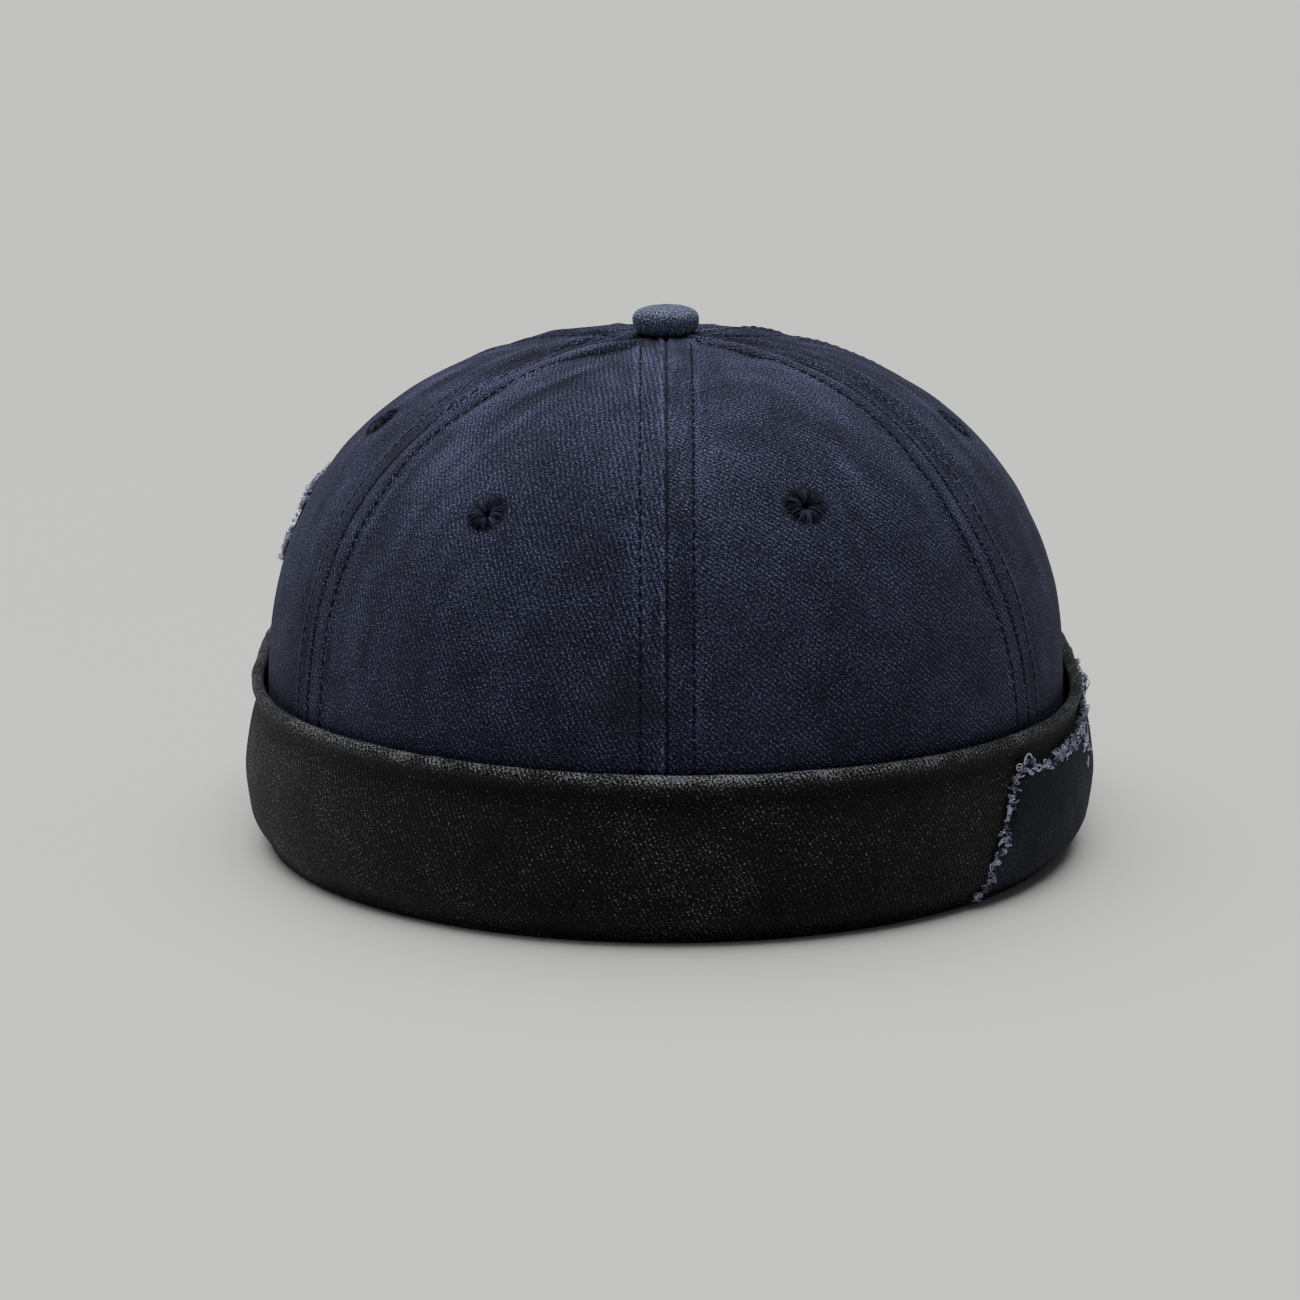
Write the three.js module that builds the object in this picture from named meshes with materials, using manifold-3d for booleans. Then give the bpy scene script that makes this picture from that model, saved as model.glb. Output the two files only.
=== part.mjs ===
// A brimless six-panel cap with a turned-up cuff, in millimetres.
// +Z is up, the front faces -Y, and the wearer's left is +X.

import * as THREE from "three";
import { mergeVertices } from "three/addons/utils/BufferGeometryUtils.js";
import Module from "manifold-3d";

const wasm = await Module();
wasm.setup();

// Clearances between neighbouring pieces
const fitClearance = 0.3;
const channelClearance = 0.4;
const seamGap = 0.3;

// Crown: a vertical wall that grows out of the cuff, and a dome above it
const clothWall = 1.3;
const crownHalfWidth = 88;
const crownFrontDepth = 95;
const crownBackDepth = 104;
const backFlatness = 0.3;
const backFullness = 0.05;
const fullnessFade = 6;
const crownBaseHeight = 30;
const domeHeight = 81;
const domeRoundness = 2.34;
const footTaper = 2;
const panelBulge = 0.8;

// Button: covered head above the crown, with a post and a back washer
const buttonRadius = 7.3;
const buttonHeight = 6.9;
const postRadius = 2.6;
const washerRadius = 5;
const washerThickness = 0.8;

// Eyelets: a stitched ring on both faces of the cloth, round a punched hole
const eyeletHoleRadius = 1.2;
const eyeletBarrelRadius = 2.2;
const eyeletRingRadius = 4.1;
const eyeletBackRadius = 3.3;
const eyeletThickness = 0.7;
const eyeletPunchLength = 8;

// Cuff: a double cloth band, folded at the rim and under the crown's foot
const cuffHeight = 35;
const cuffCloth = 1.8;
const cuffBulge = 3.6;
const rollRadius = 1.4;
const lipGapFront = 0.4;
const lipGapLeft = 1.5;
const lipGapBack = 0.8;
const lipGapRight = 1;
const foldOverhang = 0.4;
const rimWave = 1.1;
const rimWaveAzimuth = 320;
const rimBackRise = 3;
const rimRiseStart = 65;
const rimRiseEnd = 115;
const foldRound = 0.8;
const returnHeight = 10;
const returnCloth = 1.2;

// Torn patches
const patchCloth = 1;
const cuffPatchBackAzimuth = 118;
const cuffPatchFoot = 1.6;
const crownPatchFrontAzimuth = 267;
const crownPatchBackAzimuth = 243;
const crownPatchLow = 29;
const crownPatchHigh = 45.5;

// How finely the solids are cut
const panelColumns = 10;
const wallRows = 3;
const domeRows = 14;
const cuffSteps = 58;
const turnSteps = 14;
const buttonSteps = 24;
const cuffPatchColumns = 14;
const cuffPatchRows = 8;
const crownPatchColumns = 7;
const crownPatchRows = 7;
const weldDistance = 1e-4;
const normalStep = 1e-3;

// Seams round the crown: degrees from the front towards the wearer's left,
// and how far each one bows sideways at mid height
const seams = [
  { azimuth: 0, bow: 0 },
  { azimuth: 61.5, bow: -4 },
  { azimuth: 121, bow: 0 },
  { azimuth: 180, bow: 0 },
  { azimuth: 239, bow: 0 },
  { azimuth: 300, bow: -1.5 },
  { azimuth: 360, bow: 0 },
];
const seamBowMiddle = 0.385;
const seamBowReach = 0.42;

const panelNames = [
  "panel_front_left",
  "panel_side_left",
  "panel_back_left",
  "panel_back_right",
  "panel_side_right",
  "panel_front_right",
];

// Eyelets: degrees round the crown, height as a share of the dome, and the panel that is pierced
const eyelets = [
  { name: "eyelet_front_left", azimuth: 24, height: 0.69, panel: "panel_front_left" },
  { name: "eyelet_side_left", azimuth: 85, height: 0.77, panel: "panel_side_left" },
  { name: "eyelet_back_left", azimuth: 150, height: 0.72, panel: "panel_back_left" },
  { name: "eyelet_back_right", azimuth: 210, height: 0.72, panel: "panel_back_right" },
  { name: "eyelet_side_right", azimuth: 278, height: 0.78, panel: "panel_side_right" },
  { name: "eyelet_front_right", azimuth: 328.8, height: 0.665, panel: "panel_front_right" },
];

// Cuff face from the fold to the rim: height as a share of the cuff,
// lift as a share of the lip gap, bulge as a share of the cuff's bulge
const cuffFace = [
  { height: 0.06, lift: 0, bulge: -0.2 },
  { height: 0.15, lift: 0.2, bulge: 0.4 },
  { height: 0.28, lift: 0.4, bulge: 0.74 },
  { height: 0.45, lift: 0.6, bulge: 0.88 },
  { height: 0.62, lift: 0.75, bulge: 0.66 },
  { height: 0.77, lift: 0.9, bulge: 0.3 },
  { height: 0.87, lift: 1, bulge: 0.06 },
];

// Degrees round the puffed rim, from under its outer side over the top to under its inner side
const rollTurns = [-50, 0, 45, 90, 135, 180, 230];

// Front edge of the cuff patch: rise from its foot to its top, degrees round the cuff
const cuffPatchFront = [
  { rise: 0, azimuth: 47.3 },
  { rise: 0.3, azimuth: 47.9 },
  { rise: 0.42, azimuth: 49.7 },
  { rise: 0.53, azimuth: 49.3 },
  { rise: 0.8, azimuth: 52 },
  { rise: 1, azimuth: 55.4 },
];

// Top edge of the cuff patch: along from its front corner to its back corner,
// height as a share of the cuff
const cuffPatchTop = [
  { along: 0, height: 0.83 },
  { along: 0.07, height: 0.785 },
  { along: 0.24, height: 0.8 },
  { along: 0.38, height: 0.815 },
  { along: 0.5, height: 0.87 },
  { along: 0.6, height: 0.93 },
  { along: 1, height: 0.9 },
];

// Front edge of the crown patch: rise from its foot to its top,
// slip towards the back as a share of the patch's width
const crownPatchEdge = [
  { rise: 0, slip: 0.1 },
  { rise: 0.3, slip: 0 },
  { rise: 0.64, slip: 0.12 },
  { rise: 0.8, slip: 0.02 },
  { rise: 1, slip: 0.14 },
];

// Button head: radius and height as shares of the button's own
const buttonHead = [
  { radius: 0.86, height: 0.08 },
  { radius: 0.97, height: 0.22 },
  { radius: 1, height: 0.42 },
  { radius: 0.98, height: 0.62 },
  { radius: 0.88, height: 0.8 },
  { radius: 0.66, height: 0.92 },
  { radius: 0.34, height: 0.985 },
  { radius: 0, height: 1 },
];

const navyCotton = new THREE.MeshStandardMaterial({ color: 0x323a54, roughness: 0.92, metalness: 0 });
const buttonCotton = new THREE.MeshStandardMaterial({ color: 0x3a4460, roughness: 0.9, metalness: 0 });
const eyeletThread = new THREE.MeshStandardMaterial({ color: 0x1d2133, roughness: 0.8, metalness: 0 });
const cuffCotton = new THREE.MeshStandardMaterial({ color: 0x2a2b29, roughness: 0.95, metalness: 0 });
const patchCotton = new THREE.MeshStandardMaterial({ color: 0x2c3448, roughness: 0.95, metalness: 0 });

const radians = THREE.MathUtils.degToRad;
const mix = THREE.MathUtils.lerp;

// Value of a table's column at a place along its other column
function readTable(table, place, alongColumn, valueColumn) {
  const last = table.length - 1;
  for (let i = 0; i < last; i++) {
    const from = table[i];
    const to = table[i + 1];
    if (place <= to[alongColumn]) {
      const share = (place - from[alongColumn]) / (to[alongColumn] - from[alongColumn]);
      return mix(from[valueColumn], to[valueColumn], Math.max(share, 0));
    }
  }
  return table[last][valueColumn];
}

// A point of the egg-shaped plan, pushed outwards by out and drawn in by share.
// Its back is flatter and fuller than an ellipse, and that fades as the dome draws in.
function planPoint(azimuth, out, share, z) {
  const angle = radians(azimuth);
  const atFront = Math.cos(angle) > 0;
  const depth = atFront ? crownFrontDepth : crownBackDepth;
  const wide = backFlatness * Math.cos(angle) ** 2 + backFullness * Math.sin(2 * angle) ** 2;
  const fullness = atFront ? 1 : 1 + wide * share ** fullnessFade;
  const x = Math.sin(angle) * (crownHalfWidth + out) * share * fullness;
  const y = -Math.cos(angle) * (depth + out) * share;
  return new THREE.Vector3(x, y, z);
}

// Climb is 0 where the dome starts, 1 at its apex and -1 at the foot of the wall
function domeShares(climb) {
  const angle = climb * Math.PI / 2;
  const power = 2 / domeRoundness;
  return { radius: Math.cos(angle) ** power, height: Math.sin(angle) ** power };
}

function climbAtHeight(share) {
  return Math.asin(share ** (domeRoundness / 2)) * 2 / Math.PI;
}

function climbAtRadius(share) {
  return Math.acos(share ** (domeRoundness / 2)) * 2 / Math.PI;
}

const crownFootHeight = cuffCloth + fitClearance;

// How far the crown's wall stands inside the dome's base at a height
function wallTaper(z) {
  const down = Math.max(crownBaseHeight - z, 0) / (crownBaseHeight - crownFootHeight);
  return footTaper * down ** 2;
}

function seamAzimuth(index, climb) {
  const seam = seams[index];
  const away = Math.abs(climb - seamBowMiddle) / seamBowReach;
  const bell = away < 1 ? Math.cos(away * Math.PI / 2) ** 2 : 0;
  return seam.azimuth + seam.bow * bell;
}

// Each panel swells a little between its two seams
function panelSwell(azimuth, climb) {
  if (climb <= 0) return 0;
  const turn = (azimuth + 360) % 360;
  for (let i = 0; i < panelNames.length; i++) {
    const from = seamAzimuth(i, climb);
    const to = seamAzimuth(i + 1, climb);
    if (turn >= from && turn <= to) {
      const across = (turn - from) / (to - from);
      return panelBulge * 4 * across * (1 - across) * Math.sin(Math.PI * climb);
    }
  }
  return 0;
}

// A point of the crown's smooth outer face and its outward direction there
function crownFace(azimuth, climb) {
  if (climb < 0) {
    const z = mix(crownBaseHeight, crownFootHeight, -climb);
    const point = planPoint(azimuth, -wallTaper(z), 1, z);
    return { point, normal: crownNormal(azimuth, { radius: 1, height: 0 }) };
  }
  const share = domeShares(climb);
  const point = planPoint(azimuth, 0, share.radius, crownBaseHeight + domeHeight * share.height);
  return { point, normal: crownNormal(azimuth, share) };
}

// The way out of the crown, square to the way round it and to the way up it
function crownNormal(azimuth, { radius, height }) {
  const round = planPoint(azimuth + 1, 0, radius, 0).sub(planPoint(azimuth - 1, 0, radius, 0));
  const up = planPoint(azimuth, 0, radius - normalStep, 0).sub(planPoint(azimuth, 0, radius, 0));
  up.multiplyScalar(height ** (domeRoundness - 1) / normalStep);
  up.z = domeHeight * radius ** (domeRoundness - 1);
  return round.cross(up).normalize();
}

// A point of the crown's cloth, inset from its outer face
function crownPoint(azimuth, climb, inset) {
  const { point, normal } = crownFace(azimuth, climb);
  return point.addScaledVector(normal, panelSwell(azimuth, climb) - inset);
}

// One closed body from points and triangles, turned so that its faces point out
function closedBody(points, triangles) {
  let volume = 0;
  for (let i = 0; i < triangles.length; i += 3) {
    const a = points[triangles[i]];
    const b = points[triangles[i + 1]];
    const c = points[triangles[i + 2]];
    volume += a.dot(new THREE.Vector3().crossVectors(b, c));
  }
  const index = volume < 0 ? [...triangles].reverse() : triangles;
  const geometry = new THREE.BufferGeometry().setFromPoints(points);
  geometry.setIndex(index);
  geometry.computeVertexNormals();
  return geometry;
}

// Two skins of a sheet and its four edges; place(u, v, side) gives the inner and outer skin
function sheetBody(columns, rows, place) {
  const points = [];
  for (let side = 0; side < 2; side++) {
    for (let row = 0; row <= rows; row++) {
      for (let column = 0; column <= columns; column++) {
        points.push(place(column / columns, row / rows, side));
      }
    }
  }
  const triangles = [];
  const at = (column, row, side) => (side * (rows + 1) + row) * (columns + 1) + column;
  const quad = (a, b, c, d) => triangles.push(a, b, c, a, c, d);
  for (let row = 0; row < rows; row++) {
    for (let column = 0; column < columns; column++) {
      quad(at(column, row, 1), at(column + 1, row, 1), at(column + 1, row + 1, 1), at(column, row + 1, 1));
      quad(at(column, row, 0), at(column, row + 1, 0), at(column + 1, row + 1, 0), at(column + 1, row, 0));
    }
    quad(at(0, row, 0), at(0, row, 1), at(0, row + 1, 1), at(0, row + 1, 0));
    quad(at(columns, row, 1), at(columns, row, 0), at(columns, row + 1, 0), at(columns, row + 1, 1));
  }
  for (let column = 0; column < columns; column++) {
    quad(at(column, 0, 1), at(column, 0, 0), at(column + 1, 0, 0), at(column + 1, 0, 1));
    quad(at(column, rows, 0), at(column, rows, 1), at(column + 1, rows, 1), at(column + 1, rows, 0));
  }
  return closedBody(points, triangles);
}

// A ring swept round the cap: section(azimuth) gives a closed outline of out and z
function ringBody(steps, section) {
  const points = [];
  const triangles = [];
  let size = 0;
  for (let step = 0; step < steps; step++) {
    const azimuth = step * 360 / steps;
    const outline = section(azimuth);
    size = outline.length;
    for (const { out, z } of outline) points.push(planPoint(azimuth, out, 1, z));
  }
  for (let step = 0; step < steps; step++) {
    const next = (step + 1) % steps;
    for (let i = 0; i < size; i++) {
      const j = (i + 1) % size;
      const a = step * size + i;
      const b = step * size + j;
      const c = next * size + j;
      const d = next * size + i;
      triangles.push(a, b, c, a, c, d);
    }
  }
  return closedBody(points, triangles);
}

// A turned body whose vertices are shared
function turnedBody(profile, steps) {
  const turned = new THREE.LatheGeometry(profile, steps);
  turned.deleteAttribute("normal");
  turned.deleteAttribute("uv");
  const merged = mergeVertices(turned, weldDistance);
  const position = merged.getAttribute("position");
  const points = [];
  for (let i = 0; i < position.count; i++) {
    points.push(new THREE.Vector3().fromBufferAttribute(position, i));
  }
  const triangles = [];
  const index = merged.getIndex().array;
  for (let i = 0; i < index.length; i += 3) {
    const [a, b, c] = [index[i], index[i + 1], index[i + 2]];
    if (a !== b && b !== c && c !== a) triangles.push(a, b, c);
  }
  return closedBody(points, triangles);
}

function toSolid(geometry) {
  const plain = geometry.clone();
  plain.deleteAttribute("normal");
  plain.deleteAttribute("uv");
  const merged = mergeVertices(plain, weldDistance);
  return new wasm.Manifold(new wasm.Mesh({
    numProp: 3,
    vertProperties: new Float32Array(merged.getAttribute("position").array),
    triVerts: new Uint32Array(merged.getIndex().array),
  }));
}

function fromSolid(solid) {
  const mesh = solid.getMesh();
  const geometry = new THREE.BufferGeometry();
  geometry.setAttribute("position", new THREE.BufferAttribute(new Float32Array(mesh.vertProperties), 3));
  geometry.setIndex(new THREE.BufferAttribute(new Uint32Array(mesh.triVerts), 1));
  geometry.computeVertexNormals();
  return geometry;
}

const cap = new THREE.Group();

function addMesh(name, geometry, material) {
  const mesh = new THREE.Mesh(geometry, material);
  mesh.name = name;
  cap.add(mesh);
  return mesh;
}

// One gore of the crown, from the foot inside the cuff to the tip round the button's post
function panelBody(index) {
  const tipClimb = climbAtRadius((postRadius + fitClearance) / crownHalfWidth);
  const rows = wallRows + domeRows;
  const place = (u, v, side) => {
    const row = v * rows;
    const climb = row < wallRows ? row / wallRows - 1 : (row - wallRows) / domeRows * tipClimb;
    const radius = crownHalfWidth * domeShares(Math.max(climb, 0)).radius;
    const halfGap = THREE.MathUtils.radToDeg(seamGap / 2 / radius);
    const from = seamAzimuth(index, climb) + halfGap;
    const to = seamAzimuth(index + 1, climb) - halfGap;
    return crownPoint(mix(from, to, u), climb, side === 1 ? 0 : clothWall);
  };
  return sheetBody(panelColumns, rows, place);
}

// Where an eyelet sits on its panel's own facets, and how it is turned there
function eyeletSeat(eyelet, panelGeometry) {
  const { point, normal } = crownFace(eyelet.azimuth, climbAtHeight(eyelet.height));
  const start = point.clone().addScaledVector(normal, eyeletRingRadius);
  const ray = new THREE.Raycaster(start, normal.clone().negate());
  const [hit] = ray.intersectObject(new THREE.Mesh(panelGeometry, navyCotton));
  const turn = new THREE.Quaternion().setFromUnitVectors(new THREE.Vector3(0, 1, 0), normal);
  return { point: hit.point, turn };
}

// The punched hole that an eyelet's barrel passes through
function eyeletHole(seat) {
  const radius = eyeletBarrelRadius + fitClearance;
  const hole = new THREE.CylinderGeometry(radius, radius, eyeletPunchLength, turnSteps);
  hole.applyQuaternion(seat.turn);
  hole.translate(seat.point.x, seat.point.y, seat.point.z);
  return toSolid(hole);
}

function addPanelsAndEyelets() {
  panelNames.forEach((name, index) => {
    const geometry = panelBody(index);
    let solid = toSolid(geometry);
    for (const eyelet of eyelets.filter(({ panel }) => panel === name)) {
      const seat = eyeletSeat(eyelet, geometry);
      solid = solid.subtract(eyeletHole(seat));
      addEyelet(eyelet.name, seat);
    }
    addMesh(name, fromSolid(solid), navyCotton);
  });
}

function eyeletProfile() {
  const face = fitClearance;
  const back = -clothWall - fitClearance;
  const round = eyeletThickness / 2;
  return [
    new THREE.Vector2(eyeletHoleRadius, back - round),
    new THREE.Vector2(eyeletHoleRadius + round, back - eyeletThickness),
    new THREE.Vector2(eyeletBackRadius, back - eyeletThickness),
    new THREE.Vector2(eyeletBackRadius, back),
    new THREE.Vector2(eyeletBarrelRadius, back),
    new THREE.Vector2(eyeletBarrelRadius, face),
    new THREE.Vector2(eyeletRingRadius, face),
    new THREE.Vector2(eyeletRingRadius - round, face + eyeletThickness),
    new THREE.Vector2(eyeletHoleRadius + round, face + eyeletThickness),
    new THREE.Vector2(eyeletHoleRadius, face + round),
    new THREE.Vector2(eyeletHoleRadius, back - round),
  ];
}

function addEyelet(name, seat) {
  const mesh = addMesh(name, turnedBody(eyeletProfile(), turnSteps), eyeletThread);
  mesh.position.copy(seat.point);
  mesh.quaternion.copy(seat.turn);
}

function buttonProfile() {
  const back = -clothWall - fitClearance;
  const head = buttonHead.map(({ radius, height }) => (
    new THREE.Vector2(radius * buttonRadius, height * buttonHeight)
  ));
  return [
    new THREE.Vector2(0, back - washerThickness),
    new THREE.Vector2(washerRadius, back - washerThickness),
    new THREE.Vector2(washerRadius, back),
    new THREE.Vector2(postRadius, back),
    new THREE.Vector2(postRadius, fitClearance),
    ...head,
  ];
}

function addButton() {
  const mesh = addMesh("crown_button", turnedBody(buttonProfile(), buttonSteps), buttonCotton);
  mesh.position.z = crownBaseHeight + domeHeight;
  mesh.rotation.x = Math.PI / 2;
}

// The lip stands off the crown by another amount on each side of the cap
function lipGap(azimuth) {
  const front = Math.cos(radians(azimuth));
  const left = Math.sin(radians(azimuth));
  const along = front > 0 ? lipGapFront : lipGapBack;
  const across = left > 0 ? lipGapLeft : lipGapRight;
  return along * front ** 2 + across * left ** 2;
}

// The rim runs in a slight wave, and round the back it stands a little taller
function rimHeight(azimuth) {
  const fromFront = Math.abs((azimuth + 180) % 360 - 180);
  const back = THREE.MathUtils.smoothstep(fromFront, rimRiseStart, rimRiseEnd);
  return cuffHeight + rimWave * Math.cos(radians(azimuth - rimWaveAzimuth)) + rimBackRise * back;
}

// Inner face of the cuff's band, from the fold up to the roll
function cuffInnerFace(azimuth) {
  const lip = lipGap(azimuth);
  return cuffFace.map((row) => ({
    out: lip * row.lift + cuffBulge * row.bulge,
    z: rimHeight(azimuth) * row.height,
  }));
}

function cuffOuterFace(azimuth) {
  return cuffInnerFace(azimuth).map(({ out, z }) => ({ out: out + cuffCloth, z }));
}

// The puffed fold at the rim, from its outer side over the top to its inner side
function cuffRoll(azimuth) {
  const centreOut = lipGap(azimuth) + rollRadius;
  const centreZ = rimHeight(azimuth) - rollRadius;
  return rollTurns.map((degrees) => ({
    out: centreOut + Math.cos(radians(degrees)) * rollRadius,
    z: centreZ + Math.sin(radians(degrees)) * rollRadius,
  }));
}

// The hem that turns up inside the crown's foot and holds it
function cuffReturn() {
  const outerAt = (z) => -wallTaper(z) - clothWall - channelClearance;
  const foot = outerAt(cuffCloth);
  const top = outerAt(returnHeight);
  return [
    { out: foot, z: cuffCloth },
    { out: top, z: returnHeight - returnCloth / 2 },
    { out: top - returnCloth / 2, z: returnHeight },
    { out: top - returnCloth, z: returnHeight - returnCloth / 2 },
    { out: foot - returnCloth, z: foldRound },
    { out: foot - returnCloth + foldRound, z: 0 },
  ];
}

function cuffSection(azimuth) {
  const innerFace = cuffInnerFace(azimuth);
  return [
    { out: foldOverhang - foldRound, z: 0 },
    { out: foldOverhang, z: foldRound },
    ...cuffOuterFace(azimuth),
    ...cuffRoll(azimuth),
    ...innerFace.reverse(),
    { out: -footTaper, z: cuffCloth },
    ...cuffReturn(),
  ];
}

function addCuff() {
  addMesh("cuff", ringBody(cuffSteps, cuffSection), cuffCotton);
}

// How far out the cuff's outer face stands at a height
function cuffOutAt(azimuth, z) {
  const profile = [
    { out: foldOverhang, z: foldRound },
    ...cuffOuterFace(azimuth),
    ...cuffRoll(azimuth).slice(0, 2),
  ];
  return readTable(profile, z, "z", "out");
}

function addCuffPatch() {
  const place = (u, v, side) => {
    const azimuth = mix(readTable(cuffPatchFront, v, "rise", "azimuth"), cuffPatchBackAzimuth, u);
    const top = rimHeight(azimuth) * readTable(cuffPatchTop, u, "along", "height");
    const z = mix(cuffPatchFoot, top, v);
    const out = cuffOutAt(azimuth, z) + fitClearance + (side === 1 ? patchCloth : 0);
    return planPoint(azimuth, out, 1, z);
  };
  addMesh("cuff_patch", sheetBody(cuffPatchColumns, cuffPatchRows, place), patchCotton);
}

function addCrownPatch() {
  const place = (u, v, side) => {
    const slip = readTable(crownPatchEdge, v, "rise", "slip");
    const azimuth = mix(crownPatchFrontAzimuth, crownPatchBackAzimuth, mix(slip, 1, u));
    const climb = climbAtHeight(mix(crownPatchLow, crownPatchHigh, v) / domeHeight);
    return crownPoint(azimuth, climb, -fitClearance - (side === 1 ? patchCloth : 0));
  };
  addMesh("crown_patch", sheetBody(crownPatchColumns, crownPatchRows, place), patchCotton);
}

addPanelsAndEyelets();
addButton();
addCuff();
addCuffPatch();
addCrownPatch();

// The origin is the middle of the cap's footprint, on the surface it rests on
cap.updateMatrixWorld(true);
const box = new THREE.Box3().setFromObject(cap);
cap.position.set(-(box.min.x + box.max.x) / 2, -(box.min.y + box.max.y) / 2, -box.min.z);

export default cap;
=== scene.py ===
# A brimless six-panel cap with a turned-up cuff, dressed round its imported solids.
# Sizes are in millimetres until a mesh is made. +Z is up, the front faces -Y,
# the wearer's left is +X, and azimuths run from the front towards the wearer's left.

import math

import bpy
import numpy as np
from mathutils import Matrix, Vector
from numpy import array, concatenate, cos, exp, linspace, maximum, minimum, pi, radians, sin
from numpy.linalg import norm


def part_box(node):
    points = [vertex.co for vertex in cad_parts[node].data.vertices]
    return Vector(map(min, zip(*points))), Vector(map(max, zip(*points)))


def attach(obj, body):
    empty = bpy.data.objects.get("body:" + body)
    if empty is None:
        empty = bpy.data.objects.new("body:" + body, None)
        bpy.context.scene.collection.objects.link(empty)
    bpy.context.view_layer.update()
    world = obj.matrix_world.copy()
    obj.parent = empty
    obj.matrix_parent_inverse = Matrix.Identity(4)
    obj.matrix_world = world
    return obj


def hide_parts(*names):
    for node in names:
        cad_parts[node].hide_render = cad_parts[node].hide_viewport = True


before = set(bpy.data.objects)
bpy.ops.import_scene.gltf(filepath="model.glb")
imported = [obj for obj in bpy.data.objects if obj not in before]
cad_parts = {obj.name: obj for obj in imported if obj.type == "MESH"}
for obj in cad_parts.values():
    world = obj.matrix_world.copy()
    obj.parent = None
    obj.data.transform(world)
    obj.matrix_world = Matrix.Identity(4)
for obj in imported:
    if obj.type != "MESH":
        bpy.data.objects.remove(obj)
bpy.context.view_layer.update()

# Sizes of the solids that this script repeats
FIT = 0.3
CHANNEL = 0.4
CLOTH = 1.3
HALF_WIDTH = 88.0
FRONT_DEPTH = 95.0
BACK_DEPTH = 104.0
BACK_FLATNESS = 0.3
BACK_FULLNESS = 0.05
FULLNESS_FADE = 6
BASE = 30.0
DOME = 81.0
ROUNDNESS = 2.34
FOOT_TAPER = 2.0
PANEL_BULGE = 0.8
BUTTON_RADIUS = 7.3
BUTTON_HEIGHT = 6.9
POST_RADIUS = 2.6
WASHER_RADIUS = 5.0
WASHER = 0.8
HOLE_RADIUS = 1.2
BARREL_RADIUS = 2.2
RING_RADIUS = 4.1
BACK_RING_RADIUS = 3.3
RING_THICKNESS = 0.7
CUFF_HEIGHT = 35.0
CUFF_CLOTH = 1.8
CUFF_BULGE = 3.6
ROLL = 1.4
LIP = {"front": 0.4, "left": 1.5, "back": 0.8, "right": 1.0}
OVERHANG = 0.4
RIM_WAVE = 1.1
RIM_WAVE_AZIMUTH = 320.0
RIM_BACK_RISE = 3.0
RIM_RISE = (65, 115)
FOLD_ROUND = 0.8
RETURN_HEIGHT = 10.0
RETURN_CLOTH = 1.2
PATCH_CLOTH = 1.0
FOOT = CUFF_CLOTH + FIT
NORMAL_STEP = 1e-3

SEAMS = [(0, 0), (61.5, -4), (121, 0), (180, 0), (239, 0), (300, -1.5), (360, 0)]
BOW_MIDDLE = 0.385
BOW_REACH = 0.42
PANELS = ["front_left", "side_left", "back_left", "back_right", "side_right", "front_right"]
# Panel, azimuth and height as a share of the dome
EYELETS = [
    ("front_left", 24, 0.69),
    ("side_left", 85, 0.77),
    ("back_left", 150, 0.72),
    ("back_right", 210, 0.72),
    ("side_right", 278, 0.78),
    ("front_right", 328.8, 0.665),
]
# Cuff face: height share, lift share of the lip gap, bulge share
CUFF_FACE = array([
    (0.0229, 0, -0.389), (0.06, 0, -0.2), (0.15, 0.2, 0.4), (0.28, 0.4, 0.74), (0.45, 0.6, 0.88),
    (0.62, 0.75, 0.66), (0.77, 0.9, 0.3), (0.87, 1, 0.06), (0.929, 1, 0.139),
])
# Top edge of the cuff patch: share along it, height share of the cuff
PATCH_TOP = array([
    (0, 0.83), (0.07, 0.785), (0.24, 0.8), (0.38, 0.815), (0.5, 0.87), (0.6, 0.93), (1, 0.9),
])
# Front edge of the cuff patch: rise share, azimuth
PATCH_FRONT = array([(0, 47.3), (0.3, 47.9), (0.42, 49.7), (0.53, 49.3), (0.8, 52), (1, 55.4)])
PATCH_BACK = 118.0
PATCH_FOOT = 1.6
# Front edge of the crown patch: rise share, slip share
CROWN_PATCH_EDGE = array([(0, 0.1), (0.3, 0), (0.64, 0.12), (0.8, 0.02), (1, 0.14)])
CROWN_PATCH = {"front": 267.0, "back": 243.0, "low": 29.0, "high": 45.5}
# How far each panel's cloth is turned against the next, in degrees
GRAIN_TURN = [26, 12, 24, 10, 20, 8]
# Side of the button's head: radius share, height share
BUTTON_HEAD = array([
    (0.7, 0.08), (0.86, 0.2), (0.96, 0.34), (1, 0.52), (0.985, 0.66), (0.9, 0.8), (0.68, 0.92), (0.34, 0.985),
    (0, 1),
])

# Sewing: how far a topstitch runs from its seam, and its pitch, length and thread
STITCH_OFF = 5.5
STITCH_PITCH = 2.6
STITCH_LENGTH = 1.9
THREAD = 0.2
# How far down its seams the crown is puckered by the button
PUCKER_REACH = 26.0

button_low, button_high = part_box("crown_button")
AXIS = array([(button_low[0] + button_high[0]) / 2, (button_low[1] + button_high[1]) / 2, 0.0])


# Plain helpers

def rise(value, low, high):
    """0 below low, 1 above high and smooth between"""
    share = np.clip((np.asarray(value, float) - low) / (high - low), 0, 1)
    return share * share * (3 - 2 * share)


def bell(value, middle, spread):
    """1 at the middle and falling away on both sides"""
    return exp(-(((value - middle) / spread) ** 2))


def unit(vectors):
    return vectors / maximum(norm(vectors, axis=-1, keepdims=True), 1e-9)


def pile(*parts):
    """Places from their coordinates"""
    return np.stack(np.broadcast_arrays(*parts), axis=-1)


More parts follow.
